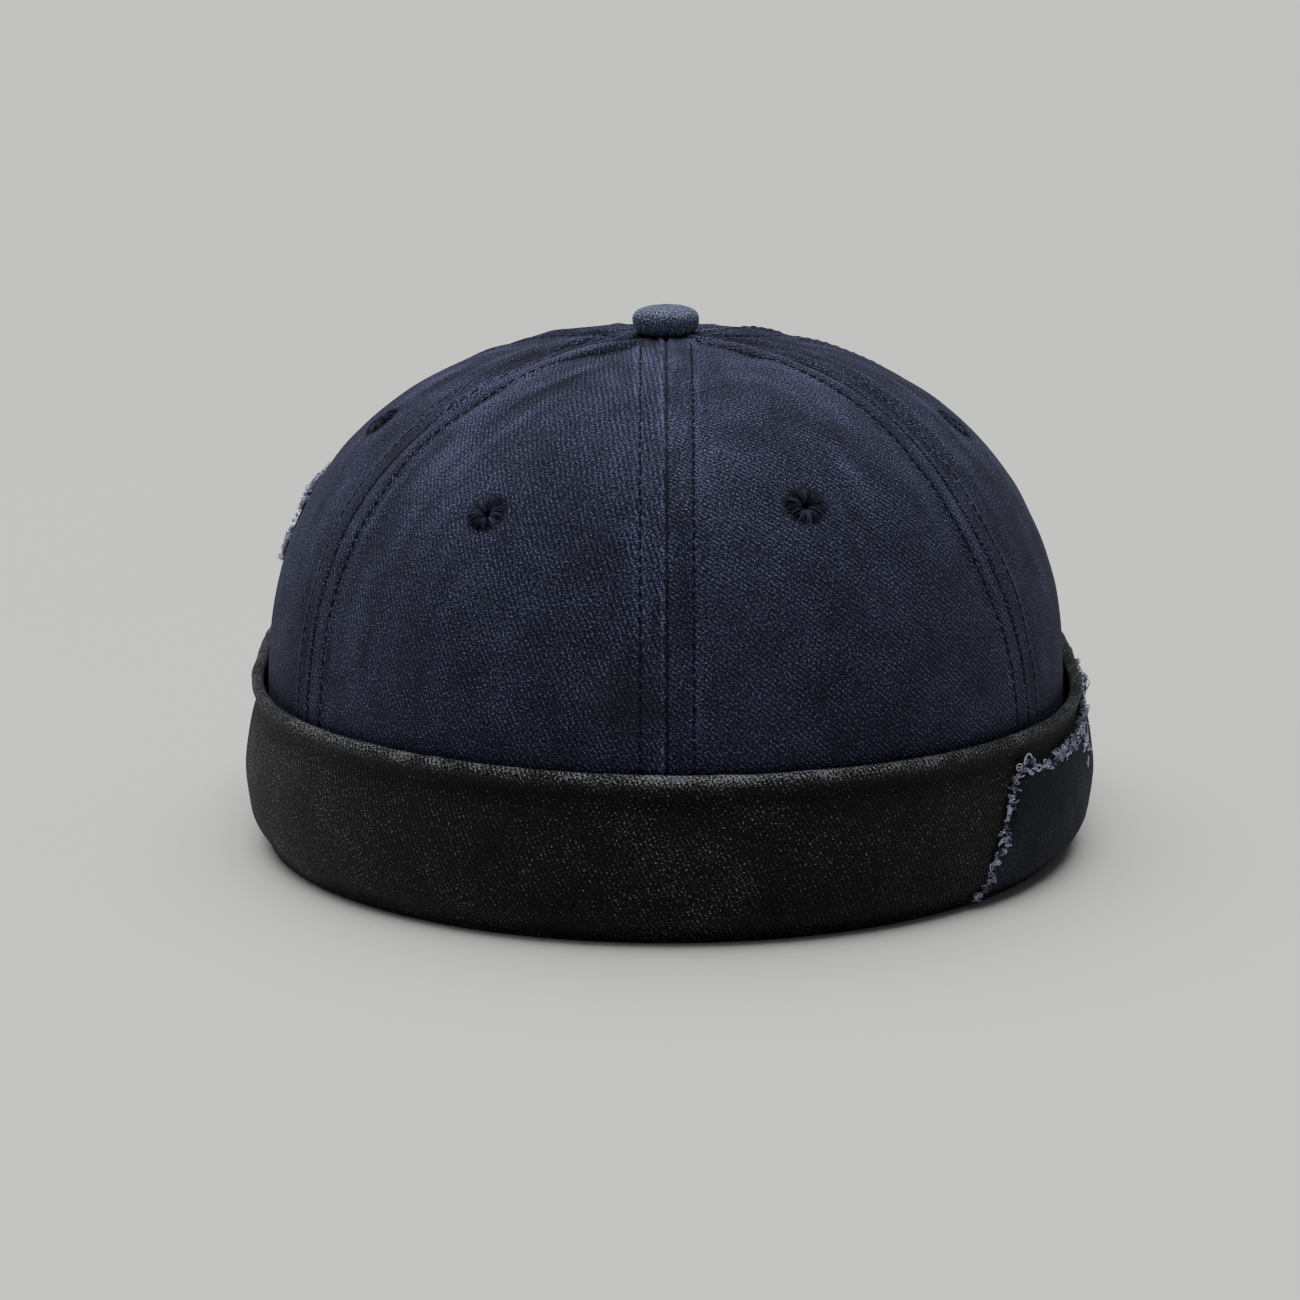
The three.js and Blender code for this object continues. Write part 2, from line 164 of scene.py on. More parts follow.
def run_along(paths):
    """How far along its path each point is"""
    step = norm(np.diff(paths, axis=-2), axis=-1)
    return concatenate([0 * step[..., :1], np.cumsum(step, axis=-1)], axis=-1)


def full_turn(steps):
    """Angles of so many steps round, the end too"""
    return linspace(0, 2 * pi, steps + 1)


def upright(normal):
    """The level and the steep way across a face with this normal"""
    across = unit(np.cross((0, 0, 1), normal))
    return across, np.cross(normal, across)


def noise(points, size, seed):
    """Smooth noise from -1 to 1, with features of about this size"""
    values = np.random.RandomState(seed).uniform(-1, 1, (32, 32, 32))
    place = np.asarray(points, float) / size + 320.0
    cell = np.floor(place).astype(int)
    part = place - cell
    part = part ** 3 * (part * (part * 6 - 15) + 10)
    total = np.zeros(place.shape[:-1])
    for corner in range(8):
        step = array([corner >> 2 & 1, corner >> 1 & 1, corner & 1])
        weight = np.prod(np.where(step == 1, part, 1 - part), axis=-1)
        i, j, k = np.moveaxis((cell + step) % 32, -1, 0)
        total += weight * values[i, j, k]
    return total


def ripple(place, size, seed):
    """Noise along one direction"""
    return noise(pile(place, 0 * place, 0 * place), size, seed)


def slack(points):
    """Wide, shallow waves of the crown's cloth"""
    return 0.42 * noise(points, 31, 3) + 0.2 * noise(points, 13, 4)


def swell(share, climb):
    """How far a panel bulges between its seams"""
    return PANEL_BULGE * 4 * share * (1 - share) * sin(pi * np.clip(climb, 0, 1))


def spline(knots, values, place):
    """A natural cubic through the knots"""
    gap = np.diff(knots)
    slope = np.diff(values) / gap
    matrix = np.eye(len(knots))
    right = np.zeros(len(knots))
    for i in range(1, len(knots) - 1):
        matrix[i, i - 1:i + 2] = gap[i - 1], 2 * (gap[i - 1] + gap[i]), gap[i]
        right[i] = 6 * (slope[i] - slope[i - 1])
    bend = np.linalg.solve(matrix, right)
    i = np.clip(np.searchsorted(knots, place) - 1, 0, len(knots) - 2)
    past = place - knots[i]
    start = slope[i] - gap[i] * (2 * bend[i] + bend[i + 1]) / 6
    return values[i] + past * (start + past * (bend[i] / 2 + past * (bend[i + 1] - bend[i]) / (6 * gap[i])))


# The crown's shape, as in the solids

def plan(azimuth, out, share, z):
    angle = radians(azimuth)
    front = cos(angle) > 0
    depth = np.where(front, FRONT_DEPTH, BACK_DEPTH)
    wide = BACK_FLATNESS * cos(angle) ** 2 + BACK_FULLNESS * sin(2 * angle) ** 2
    full = 1 + np.where(front, 0, wide) * np.power(share, FULLNESS_FADE)
    x = sin(angle) * (HALF_WIDTH + out) * share * full
    y = -cos(angle) * (depth + out) * share
    return pile(x, y, z).astype(float)


def climb_at_height(share):
    return np.arcsin(np.clip(share, 0, 1) ** (ROUNDNESS / 2)) * 2 / pi


TIP_CLIMB = math.acos(((POST_RADIUS + FIT) / HALF_WIDTH) ** (ROUNDNESS / 2)) * 2 / pi


def wall_taper(z):
    return FOOT_TAPER * (maximum(BASE - z, 0) / (BASE - FOOT)) ** 2


def seam_azimuth(index, climb):
    azimuth, bow = SEAMS[index]
    away = np.abs(climb - BOW_MIDDLE) / BOW_REACH
    return azimuth + bow * np.where(away < 1, cos(minimum(away, 1) * pi / 2) ** 2, 0)


def crown_face(azimuth, climb):
    """Points of the smooth outer face and the way out of it"""
    azimuth, climb = np.broadcast_arrays(np.asarray(azimuth, float), np.asarray(climb, float))
    angle = np.clip(climb, 0, 1) * pi / 2
    radius = cos(angle) ** (2 / ROUNDNESS)
    height = np.where(climb > 0, sin(angle) ** (2 / ROUNDNESS), 0)
    z = np.where(climb < 0, BASE + (BASE - FOOT) * climb, BASE + DOME * height)
    point = plan(azimuth, -wall_taper(z), radius, z)
    round_way = plan(azimuth + 1, 0, radius, 0) - plan(azimuth - 1, 0, radius, 0)
    up = plan(azimuth, 0, radius - NORMAL_STEP, 0) - plan(azimuth, 0, radius, 0)
    up = up * (height ** (ROUNDNESS - 1) / NORMAL_STEP)[..., None]
    up[..., 2] = DOME * radius ** (ROUNDNESS - 1)
    return point, unit(np.cross(round_way, up))


def meridian(azimuth):
    """Climbs up a panel and how far along the cloth each one is"""
    base = linspace(-1, 0, 200, endpoint=False)
    climb = concatenate([base, TIP_CLIMB * linspace(0, 1, 900) ** 1.3])
    point, _ = crown_face(azimuth, climb)
    return climb, run_along(point)


class Panel:
    """One gore of the crown; places on it are millimetres up from its foot and across from its left seam"""

    def __init__(self, index):
        self.index = index
        self.name = PANELS[index]
        self.node = "panel_" + self.name
        self.climbs, self.alongs = meridian((SEAMS[index][0] + SEAMS[index + 1][0]) / 2)
        self.length = self.alongs[-1]
        self.eyelets = []
        for name, azimuth, height in EYELETS:
            if name == self.name:
                point, normal = crown_face(azimuth, climb_at_height(height))
                self.eyelets.append((point + normal * PANEL_BULGE * 0.9, normal))

    def rows(self, along):
        climb = np.interp(along, self.alongs, self.climbs)
        start = seam_azimuth(self.index, climb)
        end = seam_azimuth(self.index + 1, climb)
        azimuth = start[:, None] + (end - start)[:, None] * linspace(0, 1, 49)
        point, _ = crown_face(azimuth, climb[:, None])
        return climb, azimuth, run_along(point)

    def surface(self, along, across):
        """across(widths) gives the distances from the left seam, one row for each place along"""
        climb, azimuths, lengths = self.rows(along)
        width = lengths[:, -1:]
        left = across(width)
        azimuth = np.stack([np.interp(*row) for row in zip(left, lengths, azimuths)])
        point, normal = crown_face(azimuth, climb[:, None])
        smooth = point + normal * swell(left / width, climb[:, None])[..., None]
        relief, tone = self.relief(along[:, None], left, width, smooth)
        lining, lining_tone = self.lining(left, width, smooth)
        outer = smooth + normal * relief[..., None]
        inner = smooth - normal * (CLOTH + lining)[..., None]
        return {"outer": outer, "inner": inner, "normal": normal, "left": left, "width": width,
                "tone": tone, "lining_tone": lining_tone}

    @staticmethod
    def joined(left, width, sides):
        """What the left seam's side says and what the right one's says, mixed in the middle of the panel"""
        share = np.clip((left / width - 0.5) * 6 + 0.5, 0, 1)
        return [of_left * (1 - share) + of_right * share for of_left, of_right in zip(*sides)]

    def relief(self, along, left, width, smooth):
        """How far the cloth stands out over its smooth face, and its tone: wear, painted light and painted
        shade
        """
        z = smooth[..., 2]
        above = rise(z, 36, 46)
        below_top = self.length - along
        sides = []
        for near, seam, sign in ((left, self.index, 1), (width - left, self.index + 1, -1)):
            phase = seam % 6
            ridge = phase == 0 and sign < 0
            gathered = 1.0 if phase in (0, 3) else 1.5
            pull = exp(-below_top / (PUCKER_REACH * gathered ** 2))
            strip = pile(near * 0.8 * sign, along, 40.0 * phase)
            crease = noise(strip * (1.1, 0.16, 1), 2.6, 31 + phase) * (0.5 + 0.4 * gathered ** 2) * pull
            streaks = noise(strip * (1.5, 0.1, 1), 1.6, 38 + phase) * (0.22 + 0.3 * pull)
            pleat = noise(strip, 5.5, 11 + phase) * (0.13 + 0.3 * exp(-below_top / PUCKER_REACH))
            pucker = pleat + 0.05 * noise(strip, 2.2, 21 + phase) + crease
            sewn = bell(near, STITCH_OFF, 0.32) * (near < width / 2 + 0.3)
            dimple = 0.75 + 0.25 * cos(2 * pi * along / STITCH_PITCH)
            height = 0.3 * (1 - rise(near, 5.5, 7.0)) - 0.36 * sewn * dimple
            height = height - 0.45 * bell(near, 0, 0.4) + (0.36 if ridge else 0.1) * bell(near, 1.2, 0.7)
            height = height + pucker * rise(near, 0.3, 1.4)
            height = height * (1 - rise(near, 9, 15)) - 0.16 * bell(near, 7.8, 1.6)
            # Tone beside a seam: the lip's light ridge is wear with a painted highlight; painted shade in the
            # seam's groove, in the stitch dimples and on the band beside the lower lip; puckers painted
            # lighter where they rise and darker where they sink; a light line just beyond the stitches and
            # pale streaks
            ridge_unevenness = 0.75 + 0.6 * noise(strip * (2, 1, 1), 1.6, 36 + phase)
            wear_and_painted_light = (0.95 if ridge else 0.18) * bell(near, 0.9, 0.5) * ridge_unevenness + 0.2 * bell(near, 6.6, 0.6)
            wear_and_painted_light = wear_and_painted_light - 0.75 * bell(near, 0, 0.3) - sewn * (dimple - 0.5)
            wear_and_painted_light = wear_and_painted_light + 0.6 * gathered * pucker + streaks * (1 - rise(near, 7, 12))
            wear_and_painted_light = wear_and_painted_light - (0.0 if ridge else 0.1) * rise(near, 0.6, 1.4) * (1 - rise(near, 4.8, 5.6))
            sides.append((height * (0.75 + 0.25 * above), wear_and_painted_light))
        height, tone = self.joined(left, width, sides)
        height = height + (slack(smooth) + 0.06 * noise(smooth, 5, 5)) * above
        # Painted light: the crown lighter towards its top, as if lit from above, and painted shade on the side
        # panels, darker than the rest
        tone = tone + 0.36 * rise(z, 38, 105) - (0.28 if "side" in self.name else 0.12)
        for centre, normal in self.eyelets:
            away = smooth - centre
            away = away - (away @ normal)[..., None] * normal
            reach = norm(away, axis=-1)
            turn = np.arctan2(away[..., 2], away @ np.cross(normal, (0, 0, 1)))
            height = height - 0.2 * bell(reach, 0, 5.5) + 0.06 * cos(13 * turn) * bell(reach, 5, 1.4)
            # Painted shadow in a ring round each eyelet
            tone = tone - 0.9 * bell(reach, 3.9, 0.9)
        return height, tone

    def lining(self, left, width, smooth):
        """How far the inside stands in over its smooth face: seam allowances stitched down each side"""
        sides = []
        for near in (left, width - left):
            sewn = bell(near, STITCH_OFF, 0.45) * (near < width / 2 + 0.3)
            height = 0.5 * (1 - rise(near, 6.4, 6.8)) - 0.5 * bell(near, 0, 0.45) - 0.25 * sewn
            # The inside's tone: lighter along each allowance's cut edge, with painted shade in the seam and
            # along the stitches
            sides.append((height, 0.5 * bell(near, 6.5, 0.3) - 0.6 * bell(near, 0, 0.5) - 0.4 * sewn))
        height, tone = self.joined(left, width, sides)
        return (height + 0.1 * noise(smooth, 9, 6)) * rise(smooth[..., 2], 14, 22), tone


# Meshes

def put(name, data, place=(0, 0, 0), turn=(0, 0, 0)):
    """Adds an object to the scene, turned by these degrees"""
    made = bpy.data.objects.new(name, data)
    made.location = place
    made.rotation_euler = [radians(angle) for angle in turn]
    bpy.context.scene.collection.objects.link(made)
    return made


class Build:
    """Collects closed parts in millimetres round the crown's axis, then makes one object of them"""

    def __init__(self):
        self.points, self.tones, self.faces, self.uvs = [], [], [], []
        self.count = 0

    def add(self, points, faces, uvs, tone=0.0):
        points = np.asarray(points, float).reshape(-1, 3)
        volume = 0.0
        for face in faces:
            for i in range(1, face.shape[1] - 1):
                a, b, c = points[face[:, 0]], points[face[:, i]], points[face[:, i + 1]]
                volume += np.einsum("ij,ij->", a - points[0], np.cross(b - points[0], c - points[0]))
        for face, uv in zip(faces, uvs):
            if volume < 0:
                face, uv = face[:, ::-1], uv[:, ::-1]
            self.faces.append(face + self.count)
            self.uvs.append(uv)
        self.points.append(points)
        self.tones.append(np.broadcast_to(np.asarray(tone, float).ravel(), len(points)))
        self.count += len(points)

    def make(self, name, material, slot, node=None):
        points = concatenate(self.points)
        corners = concatenate([face.ravel() for face in self.faces])
        sizes = concatenate([np.full(len(face), face.shape[1]) for face in self.faces])
        uv = concatenate([place.reshape(-1, 2) for place in self.uvs])
        used, corners = np.unique(corners, return_inverse=True)
        points = (points[used] + AXIS * 1000) / 1000
        mesh = bpy.data.meshes.new(name)
        mesh.vertices.add(len(points))
        mesh.vertices.foreach_set("co", points.ravel())
        mesh.loops.add(len(corners))
        mesh.loops.foreach_set("vertex_index", corners.ravel())
        mesh.polygons.add(len(sizes))
        mesh.polygons.foreach_set("loop_start", np.cumsum(sizes) - sizes)
        layer = mesh.uv_layers.new(name="cloth")
        layer.uv.foreach_set("vector", uv.ravel())
        tone = mesh.attributes.new("tone", "FLOAT", "POINT")
        tone.data.foreach_set("value", concatenate(self.tones)[used])
        mesh.update(calc_edges=True)
        mesh.shade_smooth()
        mesh.set_sharp_from_angle(angle=radians(50))
        mesh.materials.append(material)
        piece = put(name, mesh)
        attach(piece, "root")
        if node:
            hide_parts(node)


def corners_of(grid):
    """The four corners of each cell of a grid of indices or places"""
    cells = np.stack([grid[:-1, :-1], grid[:-1, 1:], grid[1:, 1:], grid[1:, :-1]], axis=2)
    return cells.reshape(-1, 4, *grid.shape[2:])


def shell(build, outer, inner, uv, tone, inner_tone, keep=None):
    """Two skins joined round every edge, also round the cells that keep leaves out"""
    front = np.arange(outer.size // 3).reshape(outer.shape[:2])
    back = front + front.size
    keep = np.ones((front.shape[0] - 1, front.shape[1] - 1), bool) if keep is None else keep
    faces = [corners_of(front)[keep.ravel()], corners_of(back)[keep.ravel()][:, ::-1]]
    padded = np.pad(keep, 1).astype(int)
    for change, first, second in (
        (padded[1:-1, :-1] - padded[1:-1, 1:], np.s_[1:, :], np.s_[:-1, :]),
        (padded[:-1, 1:-1] - padded[1:, 1:-1], np.s_[:, :-1], np.s_[:, 1:]),
    ):
        for sign, a, b in ((1, first, second), (-1, second, first)):
            edge = change == sign
            faces.append(np.stack([front[a][edge], front[b][edge], back[b][edge], back[a][edge]], axis=1))
    points = concatenate([outer.reshape(-1, 3), inner.reshape(-1, 3)])
    tones = [np.broadcast_to(value, front.shape) for value in (tone, inner_tone)]
    build.add(points, faces, [uv.reshape(-1, 2)[face % front.size] for face in faces], array(tones))


def ring_grid(rings, steps, closed=False):
    """Point numbers of closed rings of so many steps, with the first ring again where the last one meets it"""
    return (np.arange(rings + closed) % rings)[:, None] * steps + np.arange(steps + 1) % steps


def end_caps(rings, tips):
    """Triangles from the first and the last ring to their tips, of point numbers or of places"""
    first, last = (np.stack([rings[i][1:], rings[i][:-1], tips[i]], axis=1) for i in (0, -1))
    return concatenate([first, last[:, ::-1]])


def tubes(build, paths, radii, sides, tone=0.0, up=None):
    """Round threads along many paths of equal point counts, closed at both ends"""
    paths = np.asarray(paths, float)
    number, count = paths.shape[:2]
    radii = np.broadcast_to(radii, (number, count))
    tangent = unit(np.gradient(paths, axis=1))
    side = [np.cross(tangent[:, 0], (0.3, 0.5, 0.81)) if up is None else up]
    for way in np.moveaxis(tangent, 1, 0):
        last = side[-1]
        side.append(unit(last - np.sum(last * way, axis=-1, keepdims=True) * way))
    side = np.stack(side[1:], axis=1)
    other = np.cross(tangent, side)
    angle = full_turn(sides)[:-1, None]
    ring = cos(angle) * side[:, :, None] + sin(angle) * other[:, :, None]
    ring = paths[:, :, None] + radii[..., None, None] * ring
    length = run_along(paths)
    grid = ring_grid(count, sides)
    caps = end_caps(grid, [np.full(sides, count * sides), np.full(sides, count * sides + 1)])
    for i in range(number):
        points = concatenate([ring[i].reshape(-1, 3), paths[i, :1], paths[i, -1:]])
        uv = pile(np.arange(sides + 1) * 0.15, length[i][:, None])
        value = tone[i] if np.ndim(tone) else tone
        build.add(points, [corners_of(grid), caps], [corners_of(uv), np.zeros((len(caps), 3, 2))], value)


# Materials

def linear(red, green, blue):
    values = array([red, green, blue]) / 255
    return (*np.where(values <= 0.04045, values / 12.92, ((values + 0.055) / 1.055) ** 2.4), 1.0)


class Shader:
    """A material in the making"""

    def __init__(self, name):
        self.material = bpy.data.materials.new(name)
        self.material.use_nodes = True
        self.tree = self.material.node_tree
        self.tree.nodes.clear()

    def feed(self, socket, value):
        if isinstance(value, bpy.types.NodeSocket):
            self.tree.links.new(value, socket)
        else:
            socket.default_value = value

    def node(self, kind, settings=(), **inputs):
        made = self.tree.nodes.new(kind)
        for key, value in dict(settings).items():
            setattr(made, key, value)
        for key, value in inputs.items():
            self.feed(made.inputs[key.replace("_", " ")], value)
        return made

    def calc(self, operation, first, second=0.0, third=0.0):
        made = self.node("ShaderNodeMath", {"operation": operation})
        for socket, value in zip(made.inputs, (first, second, third)):
            self.feed(socket, value)
        return made.outputs[0]

    def vector(self, operation, first, second):
        made = self.node("ShaderNodeVectorMath", {"operation": operation})
        self.feed(made.inputs[0], first)
        self.feed(made.inputs[1], second)
        return made.outputs["Value" if operation == "DISTANCE" else "Vector"]

    def total(self, *terms):
        """The sum of values that each have a factor"""
        made = 0.0
        for value, factor in terms:
            made = self.calc("MULTIPLY_ADD", value, factor, made)
        return made

    def blend(self, factor, first, second):
        made = self.node("ShaderNodeMix", {"data_type": "RGBA"})
        for index, value in ((0, factor), (6, first), (7, second)):
            self.feed(made.inputs[index], value)
        return made.outputs[2]

    def grain(self, vector, scale, detail=2.0, roughness=0.5):
        look = {"Scale": scale, "Detail": detail, "Roughness": roughness}
        return self.node("ShaderNodeTexNoise", Vector=vector, **look).outputs[0]

    def span(self, value, low, high, to_low=0.0, to_high=1.0):
        ends = {"From_Min": low, "From_Max": high, "To_Min": to_low, "To_Max": to_high}
        return self.node("ShaderNodeMapRange", Value=value, **ends).outputs[0]

    def wave(self, value, low=0.0):
        """A wave from low to 1 that repeats with each whole number"""
        turn = self.calc("COSINE", self.calc("MULTIPLY", value, 2 * pi))
        return self.calc("MULTIPLY_ADD", turn, (1 - low) / 2, (1 + low) / 2)

    def places(self):
        """The cloth's own coordinates, their two parts, and the object's coordinates"""
        flat = self.node("ShaderNodeUVMap", {"uv_map": "cloth"}).outputs[0]
        split = self.node("ShaderNodeSeparateXYZ", Vector=flat)
        return flat, split.outputs[0], split.outputs[1], self.node("ShaderNodeTexCoord").outputs["Object"]

    def tone(self):
        """How light or dark the mesh says a place is: wear, painted light and painted shade"""
        return self.node("ShaderNodeAttribute", {"attribute_name": "tone"}).outputs["Fac"]

    def surface(self, colour, height, strength, depth, **look):
        """The finished material, with a bump of this depth in metres"""
        bump = self.node("ShaderNodeBump", Strength=strength, Distance=depth, Height=height)
        bsdf = self.node("ShaderNodeBsdfPrincipled", Base_Color=colour, Normal=bump.outputs[0], **look)
        self.node("ShaderNodeOutputMaterial", Surface=bsdf.outputs[0])
        return self.material


def twill(name, shades, pitch=1.0, step=0.8, lean=22, bump=0.15, tone_strength=0.35, ribs=0.32, stain=None, hues=()):
    """Washed twill: broken leaning wales under a salt-and-pepper fuzz, mottled, with wear and painted light
    and shade where tone says so
    """
    make = Shader(name)
    dark, middle, light = (linear(*shade) for shade in shades)
    place, x, y, solid = make.places()
    wander = make.span(make.grain(place, 0.12), 0, 1, -0.5, 0.5)
    tremble = make.span(make.grain(place, 0.9, 2, 0.6), 0, 1, -0.5, 0.5)
    cosine, sine = cos(radians(lean)), sin(radians(lean))
    across = make.total((x, cosine / pitch), (y, sine / pitch), (tremble, 0.6), (wander, 1))
    wale = make.calc("FLOOR", across)
    chance = make.node("ShaderNodeTexWhiteNoise", {"noise_dimensions": "1D"}, W=wale).outputs["Value"]
    along = make.total((x, -sine / step), (y, cosine / step), (chance, 1), (tremble, 0.8))
    weave = make.calc("MULTIPLY", make.wave(across), make.wave(along, 0.7))
    fibre = make.grain(place, 2.1, 3, 0.75)
    value = make.total((weave, ribs), (make.tone(), tone_strength), (0.05, 1))
    # Grain, its usual range, and what that range adds
    for grain, low, high, least, most in (
        (fibre, 0.34, 0.66, -0.42, 0.52),
        (make.grain(place, 2.7, 1), 0.3, 0.7, -0.42, 0.48),
        (make.grain(solid, 34, 3, 0.55), 0.3, 0.7, -0.07, 0.08),
        (make.grain(solid, 110, 3, 0.6), 0.3, 0.7, -0.07, 0.08),
    ):
        value = make.calc("ADD", value, make.span(grain, low, high, least, most))
    colour = make.blend(make.span(value, 0.0, 0.45), dark, middle)
    colour = make.blend(make.span(value, 0.45, 1.0), colour, light)
    for seed, (scale, hue, strength) in enumerate(hues):
        aside = make.vector("ADD", solid, (seed * 3.7, seed * 1.9, seed * 5.3))
        colour = make.blend(make.span(make.grain(aside, scale), 0.5, 0.74, 0, strength), colour, linear(*hue))
    if stain:
        centre, radius, shade, strength = stain
        edge = make.span(make.grain(solid, 160, 3), 0.2, 0.8, -0.5 * radius, 0.5 * radius)
        reach = make.calc("ADD", make.vector("DISTANCE", solid, centre), edge)
        colour = make.blend(make.span(reach, radius, 0.2 * radius, 0, strength), colour, linear(*shade))
    lint = make.span(make.grain(place, 0.55, 4, 0.75), 0.735, 0.76, 0, 0.55)
    colour = make.blend(lint, colour, linear(112, 116, 130))
    return make.surface(colour, make.total((weave, 1), (fibre, 1.2)), 0.9, bump / 1000, Roughness=0.92,
                        Specular_IOR_Level=0.25, Sheen_Weight=0.12, Sheen_Roughness=0.55, Sheen_Tint=light)


def thread(name, shades, sheen=0.3, roughness=0.8, twist=0.55):
    """Spun thread: plies that wind round it once in each twist, and paler fibres"""
    make = Shader(name)
    dark, light = (linear(*shade) for shade in shades)
    _, x, y, solid = make.places()
    ply = make.wave(make.total((y, 1 / twist), (x, 2.2)))
    fuzz = make.grain(solid, 2600, 3, 0.7)
    value = make.total((ply, 0.45), (make.span(fuzz, 0.25, 0.75, -0.1, 0.6), 1), (make.tone(), 1))
    colour = make.blend(make.span(value, 0, 1), dark, light)
    return make.surface(colour, make.calc("ADD", ply, fuzz), 0.8, 0.00006, Roughness=roughness,
                        Specular_IOR_Level=0.15, Sheen_Weight=sheen, Sheen_Tint=light)


# Centre, radius and shade of the stain low on the centre seam, and how strong it is
STAIN = (tuple(array([-0.0086, -0.0935, 0.051]) + AXIS), 0.011, (22, 20, 22), 0.5)
# Shades are dark, middle and light, as red, green and blue from 0 to 255
navy_cloth = twill("navy_washed_twill", ((6, 7, 15), (37, 38, 62), (114, 119, 155)), stain=STAIN,
                   hues=((26, (50, 44, 66), 0.16), (21, (42, 54, 66), 0.16)))
button_cloth = twill("button_washed_twill", ((38, 42, 62), (94, 102, 130), (190, 198, 222)), pitch=0.8,
                     step=0.6, bump=0.12, ribs=0.16)
cuff_cloth = twill("charcoal_twill", ((4, 4, 4), (19, 19, 18), (152, 154, 160)), pitch=0.95, lean=26,
                   tone_strength=0.5, ribs=0.36)
patch_cloth = twill("patch_washed_twill", ((5, 6, 11), (17, 19, 29), (70, 75, 96)), lean=10, tone_strength=0.5,
                    ribs=0.24, hues=((30, (20, 31, 38), 0.3), (22, (38, 36, 54), 0.3)))
sewing_thread = thread("navy_sewing_thread", ((2, 3, 9), (18, 20, 36)), sheen=0.0)
eyelet_thread = thread("eyelet_satin_thread", ((3, 4, 11), (76, 81, 112)), sheen=0.0, roughness=0.7)
cuff_thread = thread("charcoal_sewing_thread", ((12, 12, 12), (48, 49, 48)))
frayed_thread = thread("frayed_blue_grey_thread", ((38, 40, 58), (204, 207, 230)), sheen=0.2)
tan_thread = thread("loose_tan_thread", ((74, 68, 60), (150, 142, 128)), sheen=0.2)


# The crown's panels and their topstitches

# Distances from a seam where the cloth's mesh has its columns, and the columns between
SEAM_REACH = 9.0
SEAM_COLUMNS = array([
    0.02, 0.18, 0.36, 0.56, 0.8, 1.05, 1.35, 1.75, 2.2, 2.8, 3.5, 4.2, 4.75, 5.05, 5.25, 5.42, 5.58, 5.75,
    5.95, 6.3, 6.8, 7.4, 8.2,
])
MIDDLE_COLUMNS = 24
# Length of a panel that the cuff hides, and the mesh's rows below and above its end
HIDDEN = 22
HIDDEN_ROWS = 11
ROWS = 186


def columns(width):
    """Distances from the left seam: close together beside each seam, wider in the middle of the panel"""
    half = width / 2
    reach = minimum(SEAM_REACH, half * 0.9)
    middle = reach + (half - reach) * linspace(0, 1, MIDDLE_COLUMNS)
    left = concatenate([SEAM_COLUMNS / SEAM_REACH * reach, middle], axis=1)
    return concatenate([left, width - left[:, -2::-1]], axis=1)


def touched(cells):
    """Which points of a grid are corners of these cells"""
    padded = np.pad(cells, 1)
    return padded[1:, 1:] | padded[:-1, 1:] | padded[1:, :-1] | padded[:-1, :-1]


def add_panel(panel):
    along = concatenate([
        linspace(0, HIDDEN, HIDDEN_ROWS, endpoint=False), linspace(HIDDEN, panel.length, ROWS),
    ])
    cloth = panel.surface(along, columns)
    cosine = cos(radians(GRAIN_TURN[panel.index]))
    sine = sin(radians(GRAIN_TURN[panel.index]))
    side, up = np.broadcast_arrays(cloth["left"] - cloth["width"] / 2, along[:, None])
    uv = pile(side * cosine + up * sine, up * cosine - side * sine)
    outer, inner = cloth["outer"], cloth["inner"]
    keep = np.ones((outer.shape[0] - 1, outer.shape[1] - 1), bool)
    radius = BARREL_RADIUS + FIT
    for centre, normal in panel.eyelets:
        middle = (outer + inner) / 2 - centre
        flat = middle - (middle @ normal)[..., None] * normal
        reach = norm(flat, axis=-1)
        cell = (reach[:-1, :-1] + reach[1:, :-1] + reach[:-1, 1:] + reach[1:, 1:]) / 4
        inside = (cell < radius) & (norm(middle[:-1, :-1], axis=-1) < 3 * radius)
        keep &= ~inside
        border = touched(inside) & touched(~inside)
        push = unit(flat) * (radius - reach)[..., None]
        outer[border] += push[border]
        inner[border] += push[border]
    build = Build()
    shell(build, outer, inner, uv, cloth["tone"], cloth["lining_tone"], keep)
    build.make(panel.node, navy_cloth, "crown_twill", panel.node)


def add_stitches(panel):
    """Topstitches down both sides of a panel, outside and inside"""
    outside = Build()
    inside = Build()
    starts = np.arange(8.0, panel.length - 3, STITCH_PITCH)
    _, _, lengths = panel.rows(starts)
    starts = starts[lengths[:, -1] > 2 * STITCH_OFF + 0.4]
    share = linspace(-0.5, 0.5, 7)
    for side in (1, -1):
        random = np.random.RandomState(50 + panel.index * 2 + side)
        middle = starts + random.uniform(-0.12, 0.12, len(starts))
        stray = random.uniform(-0.12, 0.12, len(starts))
        along = (middle[:, None] + share * STITCH_LENGTH).ravel()
        drift = np.repeat(stray, len(share))[:, None]
        place = panel.surface(along, lambda width: (STITCH_OFF if side > 0 else width - STITCH_OFF) + drift)
        shape = (len(starts), len(share), 3)
        normal = place["normal"].reshape(shape)
        arch = (0.16 - 0.34 * np.abs(share * 2) ** 3)[:, None]
        fat = THREAD * (1 - 0.45 * np.abs(share * 2) ** 4)
        tubes(outside, place["outer"].reshape(shape) + normal * arch, fat, 6, up=normal[:, 0])
        back = place["inner"].reshape(shape) - normal * arch
        tubes(inside, back[:, ::2], fat[::2], 5, up=normal[:, 0])
    outside.make(panel.node + "_topstitches", sewing_thread, "eyelet_thread")
    inside.make(panel.node + "_inner_stitches", sewing_thread, "eyelet_thread")


# Steps round an eyelet's core and round the button
CORE_STEPS = 40
BUTTON_STEPS = 160


